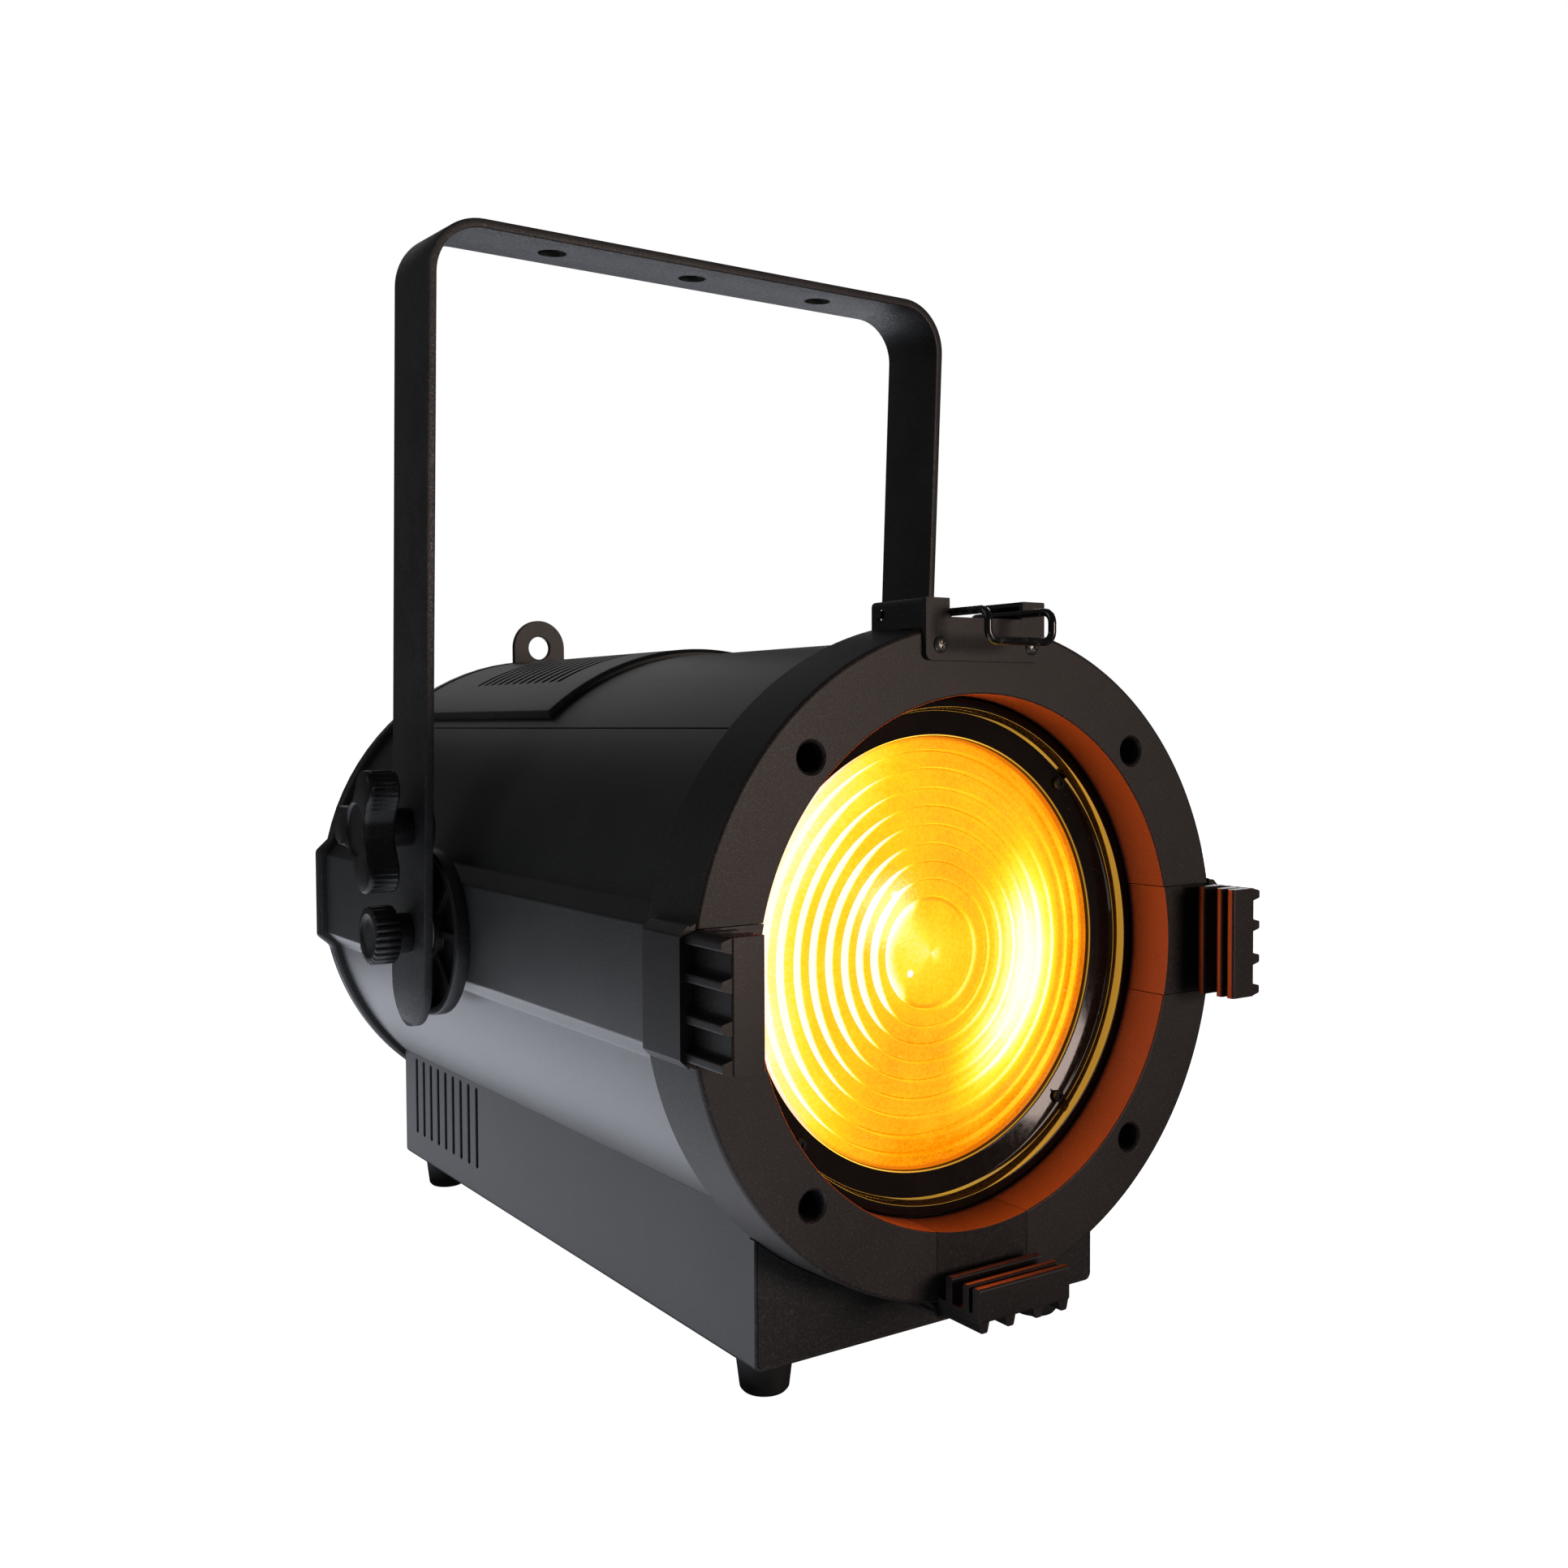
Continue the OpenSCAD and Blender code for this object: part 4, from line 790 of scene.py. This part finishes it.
fan_at = (0, 0, FAN_Z)
wire_line = 0.9 * np.array([(math.cos(a), math.sin(a)) for a in np.linspace(0, 2 * math.pi, 9)[:-1]])
rings = [lathe(wire_line + (r, 386), centre=fan_at, turns=96) for r in (11.1, 20.1, 29.1, 38.1, 47.1)]
rim = lathe(rounded([(48.5, 385), (51.9, 385), (51.9, 387), (48.5, 387)], 0.4), centre=fan_at, turns=96)
spoke = tube([(-49.5, 384.3, 0), (0, 384.3, 0), (49.5, 384.3, 0)], 0.78, 10)
bars = [moved(spoke, turn_y=a, offset=fan_at) for a in (45, 135)]
piece("fan_grille_wires", joined(*rings, rim, *bars), "lamp", ["fan_grille"], "black_wire", smooth=45)

eye = np.vstack([[(-15.5, 101), (15.5, 101)], np.array([0, 132]) + on_circle(15.5, np.linspace(90, -90, 49))])
eye_hole = cylinder(6.5, 378, 385, centre=(0, 0, 132), turns=64)
piece("safety_eye_tab", prism(eye, BODY_BACK, BODY_BACK + 3), "lamp", ["safety_eye"], "housing_coat",
      cuts=eye_hole, bevel=0.4)

# ---------- base ----------

base_line = rounded([(-BASE_X, -87.3), (-BASE_X, -BASE_Z), (BASE_X, -BASE_Z), (BASE_X, -87.3)],
                    [0, 3, 3, 0], steps=7, closed=False)
slot_outline = np.vstack([
    np.array([0, -91]) + BASE_SLOT_W / 2 * on_circle(1, np.linspace(-90, 90, 9)),
    np.array([0, -128]) + BASE_SLOT_W / 2 * on_circle(1, np.linspace(90, 270, 9))])
base_cuts = [cuboid((-90, 20, -95.4), (90, 30.3, -80))]
for s in SIDES:
    for i in range(BASE_SLOTS):
        outline = slot_outline + (360 - i * BASE_SLOT_PITCH, 0)
        base_cuts.append(prism(outline, s * BASE_X - 3, s * BASE_X + 3, axis="x"))
piece("base_channel_sheet", strip(base_line, inset(base_line, -SHEET), BASE_FRONT, BASE_BACK), "lamp",
      ["base_channel"], "housing_coat", cuts=joined(*base_cuts), bevel=0.3)

foot_profile = rounded(
    [(4.2, -BASE_Z - FOOT_H), (8, -BASE_Z - FOOT_H), (9.3, -BASE_Z - FOOT_H + 1.5), (11, -BASE_Z),
     (0, -BASE_Z), (0, -BASE_Z - 6), (4.2, -BASE_Z - 6)], [0.4, 1.2, 1.2, 0.3, 0, 0, 0.2])
feet = [lathe(foot_profile, "z", (s * FOOT_X, y, 0), 64) for s in SIDES for y in FOOT_Y]
piece("rubber_foot_set", joined(*feet), "lamp", ["rubber_feet"], "foot_rubber", smooth=30)

# ---------- yoke, discs and knobs, in pivot coordinates ----------


def yoke_shell():
    """A round-cornered strap section carried up one leg, over the top and down the other. Past
    the end centres its half width is sqrt(20 squared - distance squared), so the ends are round."""
    mid_x, mid_h, bend = YOKE_X - STRAP_T / 2, YOKE_H - STRAP_T / 2, YOKE_BEND - STRAP_T / 2
    half, end_z = STRAP_W / 2, -21.5
    tip = end_z - half * np.sin(np.linspace(math.pi / 2, 0, 14))
    corner = rounded([(-mid_x, end_z), (-mid_x, mid_h), (mid_x, mid_h), (mid_x, end_z)], [0, bend, bend, 0],
                     steps=17, closed=False)
    fill = [np.linspace(corner[i], corner[i + 1], 9)[1:-1] for i in (0, 17, 34)]
    path = np.vstack([np.stack([np.full(13, -mid_x), tip[:-1]], 1), corner[:1], fill[0], corner[1:18],
                      fill[1], corner[18:35], fill[2], corner[35:],
                      np.stack([np.full(13, mid_x), tip[-2::-1]], 1)])
    past = np.clip(end_z - path[:, 1], 0, half)
    width = np.maximum(np.sqrt(half**2 - past**2), 0.02)
    along = np.gradient(path, axis=0)
    along[:14], along[-14:] = (0, 1), (0, -1)
    along /= np.linalg.norm(along, axis=1)[:, None]
    out = np.stack([-along[:, 1], along[:, 0]], -1)
    t, r = STRAP_T / 2, 0.7
    corner_arc = np.radians(np.linspace(0, 90, 4))
    sign = [(1, 1), (-1, 1), (-1, -1), (1, -1)]
    across, thick = [], []
    for i, (sy, st) in enumerate(sign):
        arc = corner_arc if sy * st > 0 else corner_arc[::-1]
        across.append(sy * (r * np.cos(arc) - r))
        thick.append(st * (t - r + r * np.sin(arc)))
    offset = np.concatenate(across)
    lift = np.concatenate(thick)
    side = np.repeat([s[0] for s in sign], 4)
    y = side * width[:, None] + np.clip(offset, -width[:, None], width[:, None])
    x = path[:, :1] + out[:, :1] * lift
    z = path[:, 1:] + out[:, 1:] * lift
    points, faces = grid(np.stack([x, y, z], -1), wrap_v=True)
    count = len(offset)
    return points, faces + [list(range(count)), list(range(len(points) - count, len(points)))]


strap_holes = [cylinder(6.5, YOKE_H - 12, YOKE_H + 6, "z", (x, 0, 0), 64) for x in (-72.4, 0, 72.4)]
strap_holes += [cylinder(r, side * 120, side * 150, "x", (0, 0, z))
                for side in (1, -1) for r, z in ((5.05, 0), (4.05, TILT_KNOB_UP))]
piece("yoke_strap", leaned(yoke_shell()), "yoke", ["yoke"], "yoke_coat", cuts=leaned(joined(*strap_holes)),
      smooth=30)


def polar_knob(outline, rings, axis_z, side, ripple=0.0, axis="x"):
    """A knob about x or y: each ring is (share of the outline, added radius, place along the axis,
    share of the ripple), the last one 0 if left out. Its radius at an angle is share times
    outline(angle) plus the added radius, less its share of ripple(angle)."""
    angle = np.linspace(0, 2 * math.pi, len(outline), endpoint=False)
    share, added, along, rippled = np.array([(*ring, 0)[:4] for ring in rings], float).T[:, :, None]
    radius = np.clip(share * outline + added - rippled * ripple, 0, None)
    along = np.broadcast_to(side * along, radius.shape)
    across, up = radius * np.cos(angle), axis_z + radius * np.sin(angle)
    stack = {"x": (along, across, up), "y": (across, along, up)}[axis]
    return grid(np.stack(stack, -1), wrap_v=True)


def lobes(count=720):
    """Three-lobed outline starting at +y: the end circle gives c cos d + sqrt(w squared - (c sin d)
    squared), the flank w / sin d, smoothly joined to the hub by the sum of 10th powers."""
    w, c, hub = 8.5, TILT_KNOB_R - 8.5, 12.6
    angle = np.linspace(0, 2 * math.pi, count, endpoint=False)
    d = np.abs((angle + math.pi / 3) % (2 * math.pi / 3) - math.pi / 3)
    ball = c * np.cos(d) + np.sqrt(np.clip(w**2 - (c * np.sin(d)) ** 2, 0, None))
    flank = w / np.maximum(np.sin(d), 0.05)
    arm = np.where(d < math.atan2(w, c), ball, flank)
    joined_radius = (arm**10 + hub**10) ** 0.1
    return joined_radius, np.clip((joined_radius - 16.5) / 3, 0, 1), angle


def tilt_knob(side):
    """Lobed head with ribbed lobe ends, a shallow round recess in its face, and a round neck."""
    outline, ribbed, angle = lobes()
    step = np.hypot(np.diff(outline * np.cos(angle), append=outline[0]),
                    np.diff(outline * np.sin(angle), append=0))
    length = np.cumsum(step)
    ripple = 0.45 * ribbed * (0.5 - 0.5 * np.cos(2 * math.pi * length / (length[-1] / 72)))
    back, face = YOKE_X + 10.2, YOKE_X + 24
    rings = [(0, 0, back), (0.3, 0, back), (1, -1.0, back), (1, -0.3, back + 0.3), (1, 0, back + 1),
             (1, 0, back + 1.6, 1), (1, 0, face - 3.4, 1), (1, 0, face - 3.0), (1, 0, face - 1.3),
             (1, -0.35, face - 0.45), (1, -1.2, face), (0, 11.9, face), (0, 11.2, face - 0.5),
             (0, 10.8, face - 1.3), (0, 6, face - 1.5), (0, 0, face - 1.5)]
    neck = [(0, -STRAP_T - 1.7), (4, -STRAP_T - 1.7), (4, 0.3), (8.2, 0.3), (8.75, 0.9), (8.75, 10.6),
            (0, 10.6)]
    return joined(polar_knob(outline, rings, TILT_KNOB_UP, side, ripple),
                  lathe([(r, side * (YOKE_X + x)) for r, x in neck], "x", (0, 0, TILT_KNOB_UP), 64, False))


def pivot_knob(side):
    """Round head with 24 ridges: radius = 12.8 - depth times a squared cosine, with a plain neck."""
    angle = np.linspace(0, 2 * math.pi, 480, endpoint=False)
    outline = 12.8 - 0.75 * np.cos(12 * angle) ** 4
    near, far = YOKE_X + 7, YOKE_X + 18
    rings = [(0, 0, near), (0.5, 0, near), (1, -0.8, near), (1, 0, near + 0.8), (1, 0, far - 1),
             (1, -0.5, far - 0.3), (1, -1.4, far), (0, 9.6, far), (0, 9.2, far - 0.5), (0, 5.2, far - 0.6),
             (0, 0, far - 0.6)]
    neck = [(5.1, 0.3), (8.4, 0.3), (9, 0.9), (9, 7.4), (5.1, 7.4)]
    return joined(polar_knob(outline, rings, 0, side),
                  lathe([(r, side * (YOKE_X + x)) for r, x in neck], "x", turns=64))


def pivot_disc(side):
    """A dished plate with a rim, a hub and eight radial ribs."""
    low, out = side * BAND_X, side * 130.0
    floor = low + side * 2
    dish = rounded([(5.2, low), (37, low), (37, out), (33.5, out), (33.5, floor), (13, floor), (13, out),
                    (5.2, out)], [0, 0.3, 0.8, 0.5, 0.5, 0.5, 0.5, 0.3], 4)
    ribs = []
    for i in range(8):
        a = math.radians(45 * i)
        points, faces = prism([(12.8, -1.5), (33.7, -1.5), (33.7, 1.5), (12.8, 1.5)], floor - side * 0.2,
                              out - side * 1.6, axis="x")
        y, z = points[:, 1].copy(), points[:, 2].copy()
        points[:, 1], points[:, 2] = y * math.cos(a) - z * math.sin(a), y * math.sin(a) + z * math.cos(a)
        ribs.append((points, faces))
    points, faces = joined(lathe(dish, "x", turns=128), *ribs)
    return points + PIVOT, faces


for side, side_name in ((-1, "left"), (1, "right")):
    piece(f"pivot_disc_{side_name}_dish", pivot_disc(side), "lamp", [f"pivot_disc_{side_name}"],
          "knob_plastic", smooth=35)
    for knob, shell in (("tilt_knob", tilt_knob(side)), ("pivot_knob", pivot_knob(side))):
        node = f"{knob}_{side_name}"
        piece(f"{node}_head", leaned(shell), node, [node], "knob_plastic", smooth=50)

# ---------- focus knob, screws and buttons ----------

flutes = 13.3 - 0.8 * np.cos(9 * np.linspace(0, 2 * math.pi, 360, endpoint=False)) ** 6
turned = [(0, 0, 385.2), (0, 6.9, 385.2), (0, 6.9, 388.6), (1, -0.5, 388.6), (1, 0, 389.2), (0.92, 0, 400.6),
          (0.92, -0.5, 401.6), (0.92, -1.3, 402), (0, 8.5, 402), (0, 8, 401.5), (0, 0, 401.5)]
piece("focus_knob_cap", polar_knob(flutes, turned, FOCUS_Z, 1, axis="y"), "focus_drive", ["focus_knob"],
      "knob_plastic", smooth=45)


def pan_head(x, z, y, facing, spin):
    """A domed head on a disc with a cross-shaped recess; facing is -1 to the front, 1 to the rear."""
    dome = [(0, 1.7), (1.2, 1.62), (2.1, 1.35), (2.75, 0.9), (3, 0.45), (3, 0), (1.5, 0), (1.5, -6), (0, -6)]
    head = lathe([(r, y + facing * h) for r, h in dome], centre=(x, 0, z), turns=40, closed=False)
    near, far = sorted((y + facing * 0.8, y + facing * 3))
    slot = cuboid((-1.55, near, -0.33), (1.55, far, 0.33))
    cross = [moved(slot, (x, 0, z), spin + turn) for turn in (0, 90)]
    return head, joined(*cross)


def screw_set(name, node, spots, y, facing):
    """Several pan-head screws as one piece."""
    heads, crosses = zip(*[pan_head(x, z, y, facing, 17 + 31 * i) for i, (x, z) in enumerate(spots)])
    piece(name, joined(*heads), "lamp", [node], "zinc_screw", cuts=joined(*crosses), smooth=30)


screw_set("bracket_screw_pair", "bracket_screws", [(-22, 116.6), (22, 116.6)], -2, -1)
screw_set("rear_screw_set", "rear_screws", on_circle(118.5, [90, 130, 230, 270, 310, 50]), REAR_Y, 1)

for button, x in (("menu", 14), ("down", 27), ("up", 40), ("enter", 53)):
    key = np.array([(0, -7), (5, -7), (5, -5.6), (3, -5.6), (3, -3.8), (4, -3.8), (4, 2.1), (2.6, 2.4),
                    (0, 2.4)])
    key = rounded(key + (0, PANEL_FACE), [0, 0.2, 0.2, 0.2, 0.2, 0.2, 0.6, 0.8, 0], closed=False)
    piece(f"{button}_keycap", lathe(key, centre=(x, 0, -63), turns=48, closed=False), f"button_{button}",
          [f"button_{button}"], "button_plastic", smooth=35)

# ---------- CAD nodes that stay as they are get their material ----------

for entry in frame["record"]["subparts"]:
    cad = frame["nodes"][entry["node"]]
    if not cad.hide_render:
        cad.data.materials.clear()
        cad.data.materials.append(MATERIALS[entry["material_slot"]])

# ---------- camera, floor and light ----------

CAMERA_AT = (-0.3775, -0.6191, 0.2479)
CAMERA_PITCH, CAMERA_TURN, CAMERA_ROLL = 87.73, -33.95, -0.26
camera = bpy.data.objects.new("camera", bpy.data.cameras.new("camera"))
camera.data.lens, camera.data.sensor_width = 35.45, 36.0
camera.data.clip_start = 0.02
camera.matrix_world = Matrix.Translation(CAMERA_AT)
for degrees, axis in ((CAMERA_TURN, "Z"), (CAMERA_PITCH, "X"), (CAMERA_ROLL, "Z")):
    camera.matrix_world = camera.matrix_world @ Matrix.Rotation(math.radians(degrees), 4, axis)
bpy.context.scene.collection.objects.link(camera)
bpy.context.scene.camera = camera

floor_mesh = bpy.data.meshes.new("floor")
floor_mesh.from_pydata([(-12, -12, 0), (12, -12, 0), (12, 12, 0), (-12, 12, 0)], [], [[0, 1, 2, 3]])
floor = bpy.data.objects.new("floor", floor_mesh)
bpy.context.scene.collection.objects.link(floor)
# Seamless white paper: matt, nearly white, bright enough to fade into the backdrop.
paper, paper_tree, paper_at, paper_shader, _ = new_tree("white_seamless_paper")
fibres = add(paper_tree, "TexNoise", {"Vector": paper_at, "Scale": per_mm(4.0), "Detail": 3.0})
tint = add(paper_tree, "ValToRGB", {"Fac": fibres.outputs["Fac"]}, ramp=[(0.3, "#f6f6f6"), (0.7, "#fbfbfb")])
paper_tree.links.new(tint.outputs["Color"], paper_shader.inputs["Base Color"])
paper_shader.inputs["Roughness"].default_value = 0.9
paper_shader.inputs["Specular IOR Level"].default_value = 0.1
paper_shader.inputs["Emission Color"].default_value = (1, 1, 1, 1)
paper_shader.inputs["Emission Strength"].default_value = 1.0
floor_mesh.materials.append(paper)
# the paper is only seen: the table lights below stand for what it throws back
floor.visible_glossy = floor.visible_diffuse = False

world = bpy.data.worlds.new("studio")
bpy.context.scene.world = world
world.use_nodes = True
sky = world.node_tree
sky.nodes.clear()
seen = add(sky, "LightPath")
backdrop = add(sky, "Background", {"Color": (1, 1, 1, 1), "Strength": 1.0})
room = add(sky, "Background", {"Color": (1, 1, 1, 1), "Strength": 0.05})
both = add(sky, "MixShader", {"Fac": seen.outputs["Is Camera Ray"], 1: room.outputs["Background"],
                              2: backdrop.outputs["Background"]})
add(sky, "OutputWorld", {"Surface": both.outputs["Shader"]})


def area(name, at, target, size, watts, colour="#ffffff", shape="RECTANGLE", size_y=None):
    """A soft box at a place, aimed at a target, in metres."""
    light = bpy.data.objects.new(name, bpy.data.lights.new(name, "AREA"))
    light.data.shape, light.data.size, light.data.energy = shape, size, watts
    if size_y:
        light.data.size_y = size_y
    light.data.color = linear(colour)[:3]
    light.location = at
    light.rotation_euler = (Vector(target) - Vector(at)).to_track_quat("-Z", "Y").to_euler()
    bpy.context.scene.collection.objects.link(light)
    light.visible_camera = False
    return light


# A bright paper table to the left and behind, a dark room in front, and small lamps above
area("table_left", (-0.255, 0.15, 0.004), (-0.255, 0.15, 1), 0.33, 0.95, "#eef3ff", size_y=0.9)
area("table_behind", (0.75, 1.2, 0.004), (0.75, 1.2, 1), 1.4, 8.0, "#eef3ff", size_y=1.1)
area("front_softbox", (0.55, -1.65, 0.3), (-0.05, -0.19, 0.2), 0.5, 7.5, "#ffe6da", size_y=0.5)
area("left_softbox", (-1.8, 0.55, 1.15), (0, 0.05, 0.25), 0.9, 1.9, size_y=0.9)
area("rear_right_softbox", (1.7, 1.5, 0.7), (0.05, 0.1, 0.15), 0.9, 9.0, size_y=0.9)
area("back_softbox", (0.5, 2.2, 1.3), (0, 0, 0.3), 1.2, 1.6, size_y=1.0)

lens_at = ORIGIN + (0, 0.0296, 0)
in_front = tuple(lens_at + (0, -1, 0))
ring_parts = ("front_ring_body", "accessory_holder_bottom", "accessory_holder_left", "accessory_holder_right",
              "gate_bracket_sheet")
for light, pieces in (
        (area("amber_spill", tuple(lens_at), in_front, 0.16, 0.36, "#ff3a00", "DISK"), ring_parts),
        (area("lens_mirrored", tuple(lens_at), in_front, 0.168, 0.55, "#ffbe48", "DISK"),
         ("lens_retainer_ring", "retainer_screws")),
        (area("table_edge", (-0.19, 0.12, 0.006), (-0.19, 0.12, 1), 0.2, 0.55, "#eef3ff", size_y=0.8),
         ("barrel_sheet",))):
    lit = bpy.data.collections.new(light.name)
    for piece_name in pieces:
        lit.objects.link(bpy.data.objects[piece_name])
    light.light_linking.receiver_collection = lit

bpy.context.scene.view_settings.view_transform = "Standard"
